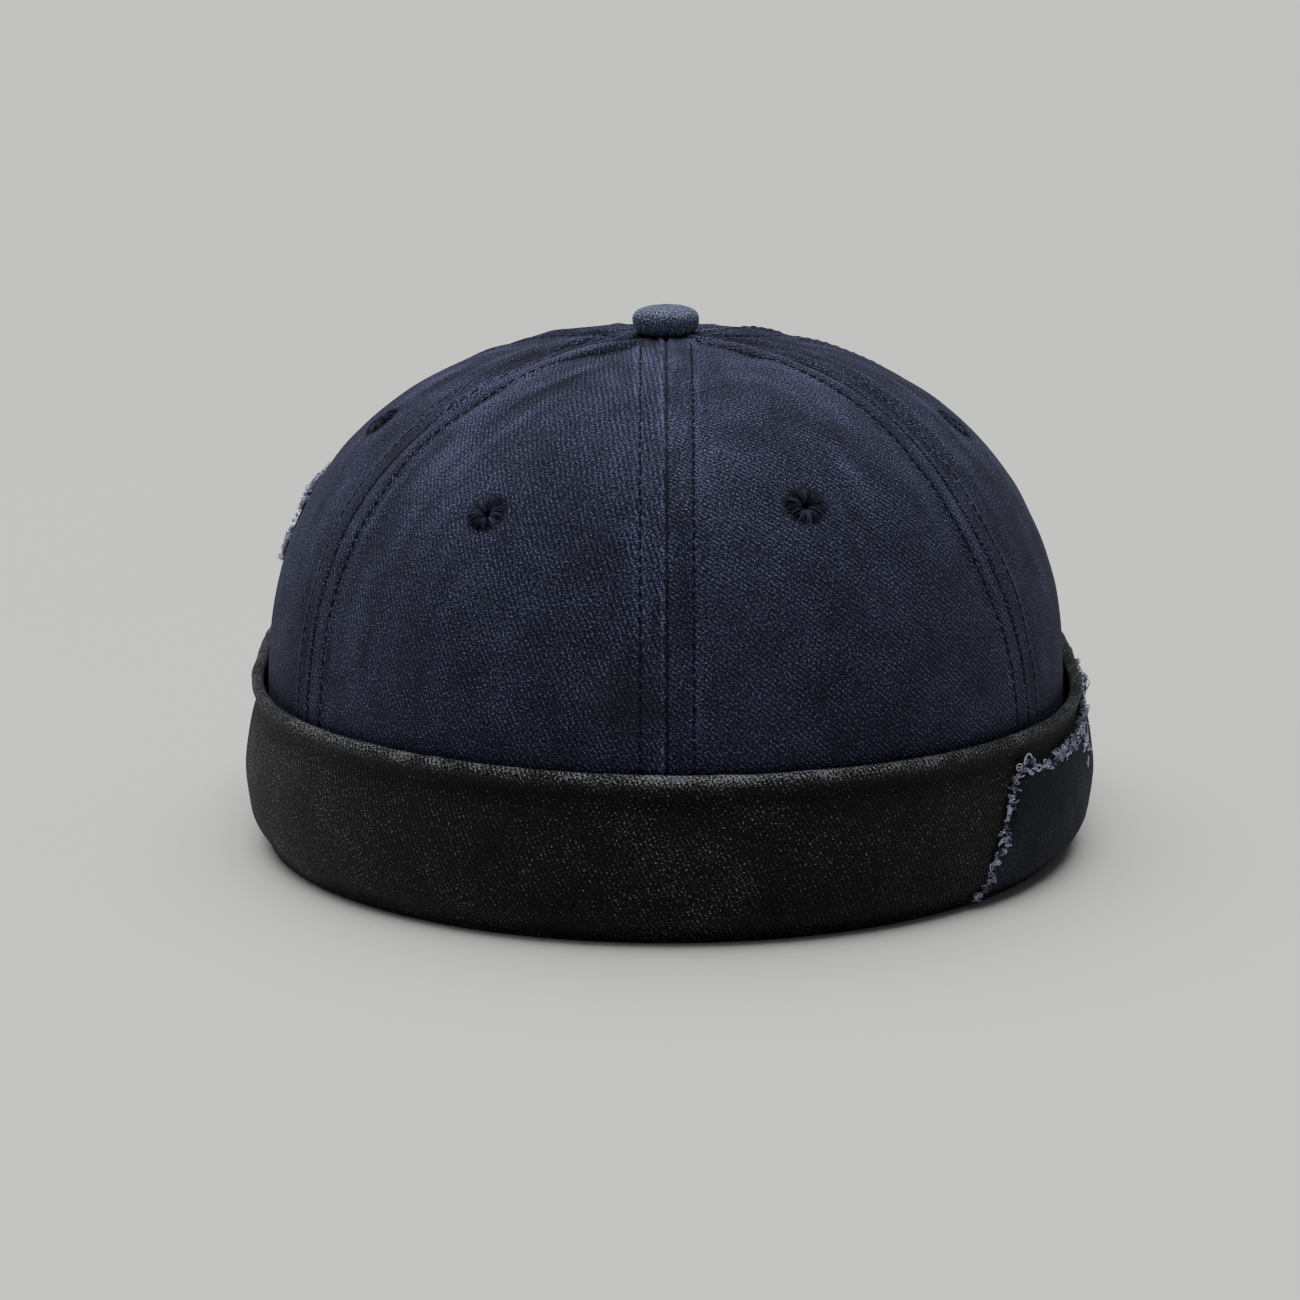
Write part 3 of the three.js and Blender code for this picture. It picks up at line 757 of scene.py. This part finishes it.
def add_eyelet(name, centre, normal):
    """Satin stitches worked over a ring on both faces of the cloth"""
    across, up = upright(normal)

    def place(radius, height, angle):
        parts = pile(radius * cos(angle), radius * sin(angle), height)
        return centre + parts @ array([across, up, normal])

    back = -CLOTH - FIT
    # Outline of the hidden core: radius, height
    core = array([
        (HOLE_RADIUS, back), (HOLE_RADIUS + 0.25, back - 0.3), (BACK_RING_RADIUS - 0.5, back - 0.3),
        (BACK_RING_RADIUS - 0.2, back - 0.1), (BARREL_RADIUS, back + 0.05), (BARREL_RADIUS, -0.1),
        (RING_RADIUS - 0.25, -0.1), (RING_RADIUS - 0.5, 0.08), (RING_RADIUS - 1.2, 0.22),
        (HOLE_RADIUS + 0.7, 0.1), (HOLE_RADIUS + 0.1, -0.3), (HOLE_RADIUS, -0.8),
    ])
    build = Build()
    turns = full_turn(CORE_STEPS)
    grid = ring_grid(len(core), CORE_STEPS, True)
    uv = pile(turns * 3, core[np.arange(-len(core), 1), 1:])
    build.add(place(core[:, :1], core[:, 1:], turns[:-1]), [corners_of(grid)], [corners_of(uv)], -0.8)
    random = np.random.RandomState(len(name) * 7 + int(centre[0] * 10) % 50)
    # Along a stitch: share of its length, share of its height, share of its thickness
    share = array([0, 0.1, 0.25, 0.45, 0.65, 0.82, 0.94, 1.0])
    lift = array([-0.25, 0.3, 0.72, 0.95, 0.92, 0.55, -0.1, -0.75])
    taper = array([0.8, 1, 1, 1, 0.95, 0.85, 0.75, 0.6])
    for count, reach, level, way in ((58, RING_RADIUS, 0.0, 1), (38, BACK_RING_RADIUS, back, -1)):
        def draw(low, high):
            return random.uniform(low, high, (count, 1))

        angle = full_turn(count)[:-1, None] + draw(-0.06, 0.06)
        end = reach + draw(-0.55, 0.4)
        tall = draw(0.75, 1.15) * RING_THICKNESS * 0.75
        radius = end + (HOLE_RADIUS - draw(0.0, 0.55) - end) * share
        stitch = place(radius, level + way * tall * lift, angle + 0.1 * share * draw(-1, 1))
        tubes(build, stitch, draw(0.12, 0.2) * taper, 5, tone=random.uniform(-0.75, 0.3, count))
    build.make("eyelet_" + name, eyelet_thread, "eyelet_thread", "eyelet_" + name)


# A place away from every seam: how far along the panel, how far from its left seam, and the panel's width
OPEN_CLOTH = [array([[size]]) for size in (90.0, 40.0, 80.0)]

for panel in [Panel(index) for index in range(6)]:
    add_panel(panel)
    add_stitches(panel)
    for seat, way in panel.eyelets:
        dip, _ = panel.relief(*OPEN_CLOTH, seat.reshape(1, 1, 3))
        add_eyelet(panel.name, seat + way * (dip.item() + 0.05), way)


# The covered button

def add_button():
    """Cloth gathered over a domed head, with a post through the crown and a washer inside"""
    back = -CLOTH - FIT
    head = BUTTON_HEAD * (BUTTON_RADIUS, BUTTON_HEIGHT)
    run = run_along(head)
    fine = linspace(0, run[-1], 56)
    dome = np.stack([spline(run, head[:, 0], fine), spline(run, head[:, 1], fine)], axis=1)
    dome[-1, 0] = 0
    under = linspace((POST_RADIUS, FIT), head[0], 12, endpoint=False)
    stem = array([
        (0, back - WASHER), (WASHER_RADIUS - 0.3, back - WASHER), (WASHER_RADIUS, back - 0.5),
        (WASHER_RADIUS, back - 0.1), (WASHER_RADIUS - 0.2, back), (POST_RADIUS, back), (POST_RADIUS, -0.6),
    ])
    profile = concatenate([stem, under, dome])
    from_top = norm(np.diff(profile, axis=0), axis=1)[::-1].cumsum()[::-1]

    def cover(rows, angle):
        """Points of the cloth and how far it is gathered, for rows of radius and height"""
        radius, height = rows[:, :1], rows[:, 1:]
        point = pile(radius * cos(angle), radius * sin(angle), height)
        gather = cos(19 * angle + 3 * noise(point, 5, 31)) * (1 - rise(height / BUTTON_HEIGHT, 0.2, 0.55))
        lump = 0.12 * noise(point, 4.5, 32) + 0.06 * noise(point, 1.7, 33) + 0.12 * gather
        out = unit((point - (0, 0, 0.35 * BUTTON_HEIGHT)) * (1, 1, 1.6))
        return point + out * (lump * rise(height, 0.3, 0.8))[..., None] + (0, 0, BASE + DOME), gather

    turns = full_turn(BUTTON_STEPS)
    body, gather = cover(profile[1:-1], turns[:-1])
    tips = [cover(profile[[i]] * (0, 1), turns[:1])[0].reshape(1, 3) for i in (0, -1)]
    share = profile[1:-1, 1:] / BUTTON_HEIGHT
    # Painted light on the button: the top of the head lighter, the gathers lighter on their ridges and darker
    # in their folds, and the shaded underside lightened
    tone = 0.35 * rise(share, 0.55, 0.85) + 0.3 * gather + 0.35 * (1 - rise(share, 0.3, 0.6))
    grid = ring_grid(len(body), BUTTON_STEPS)
    centres = [np.full(BUTTON_STEPS, body.size // 3 + i) for i in (0, 1)]
    uv = from_top[1:, None, None] * pile(cos(turns), sin(turns))
    between = [(uv[i, 1:] + uv[i, :-1]) / 2 for i in (0, -1)]
    build = Build()
    build.add(concatenate([body.reshape(-1, 3), *tips]), [corners_of(grid), end_caps(grid, centres)],
              [corners_of(uv), end_caps(uv, between)], np.append(tone, [0, 0]))
    build.make("crown_button", button_cloth, "button_twill", "crown_button")


add_button()


# The cuff

CUFF_STEPS = 640


def lip_gap(azimuth):
    front, left = cos(radians(azimuth)), sin(radians(azimuth))
    lengthways = np.where(front > 0, LIP["front"], LIP["back"])
    sideways = np.where(left > 0, LIP["left"], LIP["right"])
    return lengthways * front ** 2 + sideways * left ** 2


def rim_height(azimuth):
    from_front = np.abs((azimuth + 180) % 360 - 180)
    wave = RIM_WAVE * cos(radians(azimuth - RIM_WAVE_AZIMUTH))
    return CUFF_HEIGHT + wave + RIM_BACK_RISE * rise(from_front, *RIM_RISE)


def cuff_swell(azimuth, z):
    """Slack, puffs and puckers of the cuff's outer face"""
    place = plan(azimuth, 0, 1, z)
    height = z / rim_height(azimuth)
    face = rise(height, 0.08, 0.3)
    slack = (0.5 * noise(place, 34, 41) + 0.2 * noise(place * (1, 1, 0.6), 12, 42)) * face
    neck = -0.34 * bell(height, 0.86, 0.055) * (0.8 + 0.5 * noise(place, 16, 43))
    puff = (0.16 * noise(place, 9, 44) + 0.08 * noise(place, 4, 45)) * rise(height, 0.86, 0.95)
    return slack * (1 - rise(height, 0.8, 0.93)) + neck + puff


def cuff_face(azimuth, share):
    """How far the face's inner side stands out from the crown's base, at a share of the rim's height"""
    lift = spline(CUFF_FACE[:, 0], CUFF_FACE[:, 1], share)
    bulge = spline(CUFF_FACE[:, 0], CUFF_FACE[:, 2], share)
    return lip_gap(azimuth) * lift + CUFF_BULGE * bulge


def cuff_out(azimuth, z):
    """How far the cuff's outer face stands out from the crown's base"""
    azimuth, z = np.broadcast_arrays(np.asarray(azimuth, float), np.asarray(z, float))
    rim = rim_height(azimuth)
    face = cuff_face(azimuth, np.clip(z / rim, CUFF_FACE[0, 0], CUFF_FACE[-1, 0])) + CUFF_CLOTH
    rise_in_roll = np.clip((z - (rim - ROLL)) / ROLL, -1, 1)
    roll = lip_gap(azimuth) + ROLL + ROLL * np.sqrt(1 - rise_in_roll ** 2)
    return np.where(z / rim > CUFF_FACE[-1, 0], roll, face) + cuff_swell(azimuth, z)


def turned_in(z):
    """How far out the turned-in cloth stands beside the crown's foot"""
    return -float(wall_taper(z)) - CLOTH - CHANNEL


def arc(out, z, radius, angles):
    return [(out + radius * cos(angle), z + radius * sin(angle)) for angle in angles]


def cuff_outline(azimuth):
    """The cuff's section from its foot up the face, over the roll, down the back and round the hem"""
    rim = rim_height(azimuth)
    lip = lip_gap(azimuth)
    neck = CUFF_FACE[-1, 0]
    fold = arc(OVERHANG - FOLD_ROUND, FOLD_ROUND, FOLD_ROUND, radians(linspace(-90, 0, 5)))
    up = linspace(CUFF_FACE[0, 0], neck, 40, endpoint=False)[None, 1:] * rim
    turn = radians(linspace(-50, 230, 22))[None, :]
    top = lip + ROLL + ROLL * cos(turn)
    level = rim - ROLL + ROLL * sin(turn)
    puff = cuff_swell(azimuth, level) * rise(top, lip + 0.3, lip + 1.2)
    down = linspace(neck, CUFF_FACE[1, 0], 22)[None, 1:]
    hem_round = RETURN_CLOTH / 2
    hem_top = RETURN_HEIGHT - hem_round
    foot = turned_in(CUFF_CLOTH)
    inner_foot = foot - RETURN_CLOTH
    climb = linspace(CUFF_CLOTH + 1, hem_top, 6)
    hem = [(-FOOT_TAPER, CUFF_CLOTH), (foot, CUFF_CLOTH)]
    hem += [(turned_in(z), z) for z in climb]
    hem += arc(turned_in(RETURN_HEIGHT) - hem_round, hem_top, hem_round, (0.8, 1.57, 2.35))
    hem += [(turned_in(z) - RETURN_CLOTH, z) for z in climb[::-1]]
    hem += [(inner_foot, FOLD_ROUND + 0.4)]
    fold_turns = [pi + turn for turn in (0, 0.5, 1.05, 1.57)]
    hem += arc(inner_foot + FOLD_ROUND, FOLD_ROUND, FOLD_ROUND, fold_turns)
    hem += [(inner_foot + FOLD_ROUND + 1.4, 0), (OVERHANG - FOLD_ROUND - 0.6, 0)]
    face = [array(fold).T[:, None] + 0 * azimuth, (cuff_out(azimuth, up), up),
            (top + puff * cos(turn), level + puff * maximum(sin(turn), 0))]
    rest = [(cuff_face(azimuth, down), down * rim), array(hem).T[:, None] + 0 * azimuth]
    out, z = (concatenate([part[i] for part in face + rest], axis=1) for i in (0, 1))
    return out, z, sum(part[0].shape[1] for part in face)


def add_cuff():
    azimuth = linspace(180, 540, CUFF_STEPS, endpoint=False)[:, None]
    rim = rim_height(azimuth)
    out, z, face_columns = cuff_outline(azimuth)
    size = out.shape[1]
    on_face = np.arange(size)[None, :] < face_columns
    base = plan(azimuth, 0, 1, 0.0)[:, 0]
    run = run_along(np.vstack([base, base[:1]]))
    join = minimum(run[:-1], run[-1] - run[:-1])[:, None]
    outside = on_face * rise(z, 1.5, 4)
    out = out + outside * (-0.55 * bell(join, 0, 0.7) + 0.22 * bell(join, 2.0, 1.2))
    points = plan(azimuth, out, 1, z)
    up = run_along(pile(out, z))
    up = np.pad(up, ((0, 1), (0, 1)), mode="edge")
    up[:, -1] += 3
    uv = pile(run[:, None], up)
    forward = maximum(-points[..., 1] / FRONT_DEPTH, 0) ** 2
    # Painted light on the cuff: a highlight along the top of the roll, strongest at the front and partly wear;
    # painted shadow in the neck under the roll and in the groove of the back join
    wear_and_painted_light = (0.5 + 0.66 * forward) * rise(z, rim - 3.4, rim - 0.6) * (0.85 + 0.4 * noise(points, 3, 48))
    tone = (wear_and_painted_light - 0.2 * bell(z / rim, 0.87, 0.05)) * on_face - 0.6 - 0.6 * bell(join, 0, 0.6) * outside
    tone = tone + 0.22 * noise(points, 22, 46) + 0.16 * noise(points, 7, 47)
    # Painted light: the cuff lighter towards its end at the viewer's left, as if lit from that side
    viewers_left = np.abs(180 - azimuth % 360 + 90)
    tone = tone + 0.28 * rise(-viewers_left, -60, -10)
    build = Build()
    build.add(points, [corners_of(ring_grid(CUFF_STEPS, size, True))], [corners_of(uv)], tone)
    build.make("cuff", cuff_cloth, "cuff_twill", "cuff")


def add_cuff_stitches():
    """The row that holds the hem inside the crown's foot"""
    length = 2 * pi * 95
    count = int(length / 3.2)
    middle = linspace(0, 360, count, endpoint=False)
    share = linspace(-0.5, 0.5, 5)
    azimuth = middle[:, None] + share * 1.3
    level = RETURN_HEIGHT - 3
    out = turned_in(level) - RETURN_CLOTH - 0.1 + 0.2 * np.abs(share * 2) ** 3
    build = Build()
    tubes(build, plan(azimuth, out, 1, level), 0.2 * (1 - 0.4 * np.abs(share * 2) ** 4), 5)
    build.make("cuff_hem_stitches", cuff_thread, "cuff_twill")


add_cuff()
add_cuff_stitches()


# Torn patches and their frayed edges

# Length of a patch along its edge for each degree round the cap
CUFF_PATCH_DEGREE = 1.62
CROWN_PATCH_DEGREE = 1.5
# Length and height of the cuff patch, and of the crown patch
CUFF_PATCH_SIZE = (112, 28)
CROWN_PATCH_SIZE = (38, 24)


def curls(build, roots, outward, away, seed, length=(0.8, 2.0), loop=(0.25, 0.55), turns=(0.8, 2.2),
          fat=0.13, tone=(-0.7, 0.6)):
    """Short threads that leave roots outward and curl up on themselves"""
    random = np.random.RandomState(seed)
    number = len(roots)

    def draw(low, high):
        return random.uniform(low, high, (number, 1, 1))

    roots, outward, away = (places[:, None] for places in (roots, outward, away))
    along = np.cross(away, outward)
    share = linspace(0, 1, 17)[:, None]
    reach = draw(*length)
    grown = rise(share, 0, 0.35) * draw(*loop)
    spin = draw(*turns) * random.choice([-1, 1], (number, 1, 1))
    angle = draw(0, 2 * pi) + 2 * pi * spin * share
    first = unit(outward + draw(-0.8, 0.8) * along)
    lift = draw(0.1, 0.7)
    tilt = draw(-1, 1)
    second = unit(along * (1 - np.abs(tilt)) + away * tilt + 0.2 * outward)
    paths = roots + first * reach * share + away * lift * sin(0.7 * pi * share)
    paths = paths + grown * (cos(angle) - cos(angle[:, :1])) * first
    paths = paths + grown * (sin(angle) - sin(angle[:, :1])) * second
    paths[..., 2] = maximum(paths[..., 2], 0.3)
    radii = draw(0.75, 1.3) * fat * (1 - 0.3 * share ** 2)
    tubes(build, paths, radii[..., 0], 5, tone=random.uniform(*tone, number))


def fray(seed, fringes, ways):
    """Curls along a torn edge; a fringe is how many, where they start, which way they leave and their look"""
    threads = Build()
    random = np.random.RandomState(seed)
    for number, (count, draws, way, look) in enumerate(fringes):
        root, out, away = ways(*(draw(random, count) for draw in draws), *way)
        curls(threads, root, out, away, seed + 1 + number, **look)
    return threads


def evenly(low, high):
    return lambda random, count: random.uniform(low, high, count)


def about(middle, spread):
    return lambda random, count: random.normal(middle, spread, count)


def edge_distance(u, v, size):
    length, height = size
    return minimum(minimum(u, 1 - u) * length, minimum(v, 1 - v) * height)


def cuff_patch_place(u, v, proud=0.0):
    """A point of the cuff patch's inner face, u back from its front edge and v up"""
    front = np.interp(v, PATCH_FRONT[:, 0], PATCH_FRONT[:, 1]) + 0.3 * ripple(v * 30, 1.7, 51)
    azimuth = front + (PATCH_BACK - front) * u
    top = rim_height(azimuth) * np.interp(u, PATCH_TOP[:, 0], PATCH_TOP[:, 1])
    top = top + 0.35 * ripple(azimuth, 1.1, 52)
    z = PATCH_FOOT + (top - PATCH_FOOT) * v
    return plan(azimuth, cuff_out(azimuth, z) + FIT + proud, 1, z), azimuth, z


def cuff_patch_ways(u, v, outward_u, outward_v, proud=0.6):
    """Where a thread of the cuff patch starts, which way it leaves and which way is off the cloth"""
    near = 0.004
    root, _, _ = cuff_patch_place(u, v, proud)
    beside, _, _ = cuff_patch_place(u + near, v, proud)
    above, _, _ = cuff_patch_place(u, v + near, proud)
    u_way, v_way = unit(beside - root), unit(above - root)
    return root, unit(u_way * outward_u + v_way * outward_v), unit(np.cross(u_way, v_way))


def add_cuff_patch():
    u = linspace(0, 1, 200)[None, :]
    v = linspace(0, 1, 62)[:, None]
    inner, azimuth, z = cuff_patch_place(u, v)
    edge = edge_distance(u, v, CUFF_PATCH_SIZE)
    thick = PATCH_CLOTH * (0.55 + 0.45 * rise(edge, 0, 2.2))
    wrinkle = 0.22 * noise(inner, 11, 53) + 0.12 * noise(inner, 4, 54)
    outer, _, _ = cuff_patch_place(u, v, thick + maximum(wrinkle, -0.2) * rise(edge, 0, 2))
    uv = pile(azimuth * CUFF_PATCH_DEGREE, z)
    tone = 0.5 * bell(edge, 0, 0.9) + 0.55 * noise(inner, 10, 55) - 0.5 * rise(v, 0.5, 0.9)
    build = Build()
    shell(build, outer, inner, uv, tone, 0.0)
    build.make("cuff_patch", patch_cloth, "patch_twill", "cuff_patch")

    fringes = (
        (120, (evenly(-0.006, 0.008), evenly(0, 1)), (-1, 0.1, 0.3),
         {"length": (0.1, 1.0), "loop": (0.3, 0.7), "turns": (1.0, 2.6)}),
        (330, (evenly(0, 0.75), evenly(1, 0.92)), (0, 1), {"length": (0.1, 0.9), "loop": (0.25, 0.65)}),
        (90, (evenly(0.75, 1), evenly(1, 0.96)), (0, 1), {"length": (0.1, 0.7), "loop": (0.2, 0.4)}),
        (60, (evenly(1, 0.994), evenly(0, 1)), (1, 0), {"length": (0.1, 0.8), "loop": (0.2, 0.4)}),
        (38, (about(0.56, 0.012), evenly(1, 0.95)), (0, 1),
         {"length": (1.2, 2.8), "loop": (0.35, 0.8), "turns": (0.8, 1.8), "fat": 0.16}),
        (18, (evenly(-0.012, 0.008), evenly(0, 0.05)), (-1, -0.6),
         {"length": (0.6, 2.0), "loop": (0.3, 0.6), "fat": 0.14}),
        (14, (about(0.375, 0.014), about(0.85, 0.05)), (0.3, 0.2, 1.1),
         {"length": (0.8, 2.0), "loop": (0.4, 0.8), "turns": (0.6, 1.4), "fat": 0.14, "tone": (0.1, 0.6)}),
    )
    threads = fray(61, fringes, cuff_patch_ways)
    foot, _, _ = cuff_patch_place(array([0.003, 0.03]), array([1.0, 1.0]), 0.7)
    share = linspace(0, 1, 17)[:, None]
    arch = foot[0] + (foot[1] - foot[0]) * share + array([0, 0, 1]) * 1.6 * sin(pi * share) ** 0.6
    tubes(threads, arch[None], 0.2, 6, tone=array([0.3]))
    threads.make("cuff_patch_frayed_edge", frayed_thread, "patch_twill")


def crown_patch_place(u, v, proud=0.0):
    """A point of the crown patch's inner face, u back from its front edge and v up"""
    slip = np.interp(v, CROWN_PATCH_EDGE[:, 0], CROWN_PATCH_EDGE[:, 1]) + 0.02 * ripple(v * 20, 1.5, 71)
    azimuth = CROWN_PATCH["front"] + (CROWN_PATCH["back"] - CROWN_PATCH["front"]) * (slip + (1 - slip) * u)
    climb = climb_at_height((CROWN_PATCH["low"] + (CROWN_PATCH["high"] - CROWN_PATCH["low"]) * v) / DOME)
    point, normal = crown_face(azimuth, climb)
    start, end = SEAMS[4][0], SEAMS[5][0]
    lift = swell((azimuth - start) / (end - start), climb) + slack(point) + 0.05 + proud
    return point + normal * lift[..., None], azimuth, normal


def crown_patch_ways(u, v, outward_u, outward_v):
    """Where a thread of the crown patch starts, which way it leaves and which way is off the cloth"""
    root, azimuth, normal = crown_patch_place(u, v, 0.35)
    turn = radians(azimuth)
    forward = unit(pile(cos(turn), sin(turn), 0 * turn))
    up = np.cross(normal, forward)
    up = unit(up * np.sign(up[:, 2:]))
    return root, unit(forward * outward_u + up * outward_v), normal


def add_crown_patch():
    u = linspace(0, 1, 90)[None, :]
    v = linspace(0, 1, 50)[:, None]
    inner, azimuth, _ = crown_patch_place(u, v)
    length, height = CROWN_PATCH_SIZE
    edge = edge_distance(u, v, CROWN_PATCH_SIZE)
    thick = 0.28 + 0.3 * rise(u * length, 1, 16) + 0.1 * noise(inner, 5, 72) * rise(edge, 0, 2)
    outer, _, _ = crown_patch_place(u, v, thick)
    uv = pile(azimuth * CROWN_PATCH_DEGREE, v * height)
    build = Build()
    shell(build, outer, inner, uv, 0.45 + 0.6 * bell(edge, 0, 1.2) + 0.3 * noise(inner, 12, 73), 0.0)
    build.make("crown_patch", patch_cloth, "patch_twill", "crown_patch")

    # How many, where, which way and how long
    borders = (
        (24, (evenly(0.01, 0.03), evenly(0, 1)), (1, 0), (0.1, 0.5)),
        (50, (evenly(0.97, 1), evenly(0, 1)), (-1, 0), (0.2, 1.0)),
        (64, (evenly(0, 1), evenly(0.96, 1)), (0, 1), (0.2, 1.0)),
        (64, (evenly(0, 1), evenly(0, 0.04)), (0, -1), (0.2, 1.0)),
        (60, (evenly(-0.05, 0.12), about(0.86, 0.07)), (1, 0.2), (0.6, 2.2)),
        (60, (evenly(-0.03, 0.1), about(0.33, 0.12)), (1, -0.1), (0.5, 2.0)),
    )
    fringes = [(*border[:3], {"length": border[3], "tone": (-0.1, 0.7)}) for border in borders]
    threads = fray(81, fringes, crown_patch_ways)
    threads.make("crown_patch_frayed_edge", frayed_thread, "patch_twill")


def add_loose_thread():
    """A curl of thread behind the button"""
    foot, normal = crown_face(142.0, climb_at_height(0.94))
    across, up = upright(normal)
    share = linspace(0, 1, 60)[:, None]
    turn = 2 * pi * 2.3 * share
    coil = (0.6 - 0.2 * share) * (cos(turn) * across + 0.55 * sin(turn) * normal)
    path = foot + normal * (0.55 + 0.15 * share) + across * (2.2 * (share - 0.5)) + up * 0.3 * sin(turn / 2)
    build = Build()
    tubes(build, (path + coil)[None], 0.17, 6)
    build.make("loose_thread", tan_thread, "patch_twill")


add_cuff_patch()
add_crown_patch()
add_loose_thread()


# Floor, light and camera, in metres

FLOOR_REACH = 9.0
FLOOR_LEVEL = -0.0002
# The camera that fits the photograph: its distance in front of the crown's axis, its offset and height, its
# dip in degrees, and its focal length and the photograph's width in pixels
CAMERA_DISTANCE = 1.101
CAMERA_OFFSET = 0.00348
CAMERA_HEIGHT = 0.2843
CAMERA_DIP = 12.48
FOCAL_PIXELS = 5080
PHOTO_PIXELS = 1300


def add_floor():
    mesh = bpy.data.meshes.new("floor")
    square = ((-1, -1), (1, -1), (1, 1), (-1, 1))
    mesh.from_pydata([(x * FLOOR_REACH, y * FLOOR_REACH, FLOOR_LEVEL) for x, y in square], [], [(0, 1, 2, 3)])
    make = Shader("pale_floor")
    mottle = make.grain(make.node("ShaderNodeTexCoord").outputs["Object"], 3, 3)
    colour = make.blend(mottle, linear(232, 231, 228), linear(238, 237, 234))
    bsdf = make.node("ShaderNodeBsdfPrincipled", Base_Color=colour, Roughness=0.8)
    make.node("ShaderNodeOutputMaterial", Surface=bsdf.outputs[0])
    mesh.materials.append(make.material)
    put("floor", mesh)


def add_lights():
    """A broad soft sky from above, a weak lamp at the viewer's left and a dim room"""
    sky = bpy.data.lights.new("sky", "SUN")
    sky.energy = 3.3
    sky.angle = radians(70)
    put("sky", sky, turn=(-14, -4, 0))
    lamp = bpy.data.lights.new("left", "AREA")
    lamp.shape = "DISK"
    lamp.size = 0.8
    lamp.energy = 0.9
    place = Vector((-0.9, -0.6, 0.8))
    way = Vector((0, 0, 0.05)) - place
    put("left", lamp, place).rotation_euler = way.to_track_quat("-Z", "Y").to_euler()
    room = bpy.data.worlds.new("studio")
    room.use_nodes = True
    room.node_tree.nodes["Background"].inputs[0].default_value = (0.86, 0.88, 0.92, 1)
    room.node_tree.nodes["Background"].inputs[1].default_value = 0.12
    bpy.context.scene.world = room


def add_camera():
    data = bpy.data.cameras.new("camera")
    data.sensor_width = 36.0
    data.lens = data.sensor_width * FOCAL_PIXELS / PHOTO_PIXELS
    data.clip_start = 0.05
    data.clip_end = 50
    place = (AXIS[0] - CAMERA_OFFSET, AXIS[1] - CAMERA_DISTANCE, CAMERA_HEIGHT)
    bpy.context.scene.camera = put("camera", data, place, (90 - CAMERA_DIP, 0, 0))


add_floor()
add_lights()
add_camera()
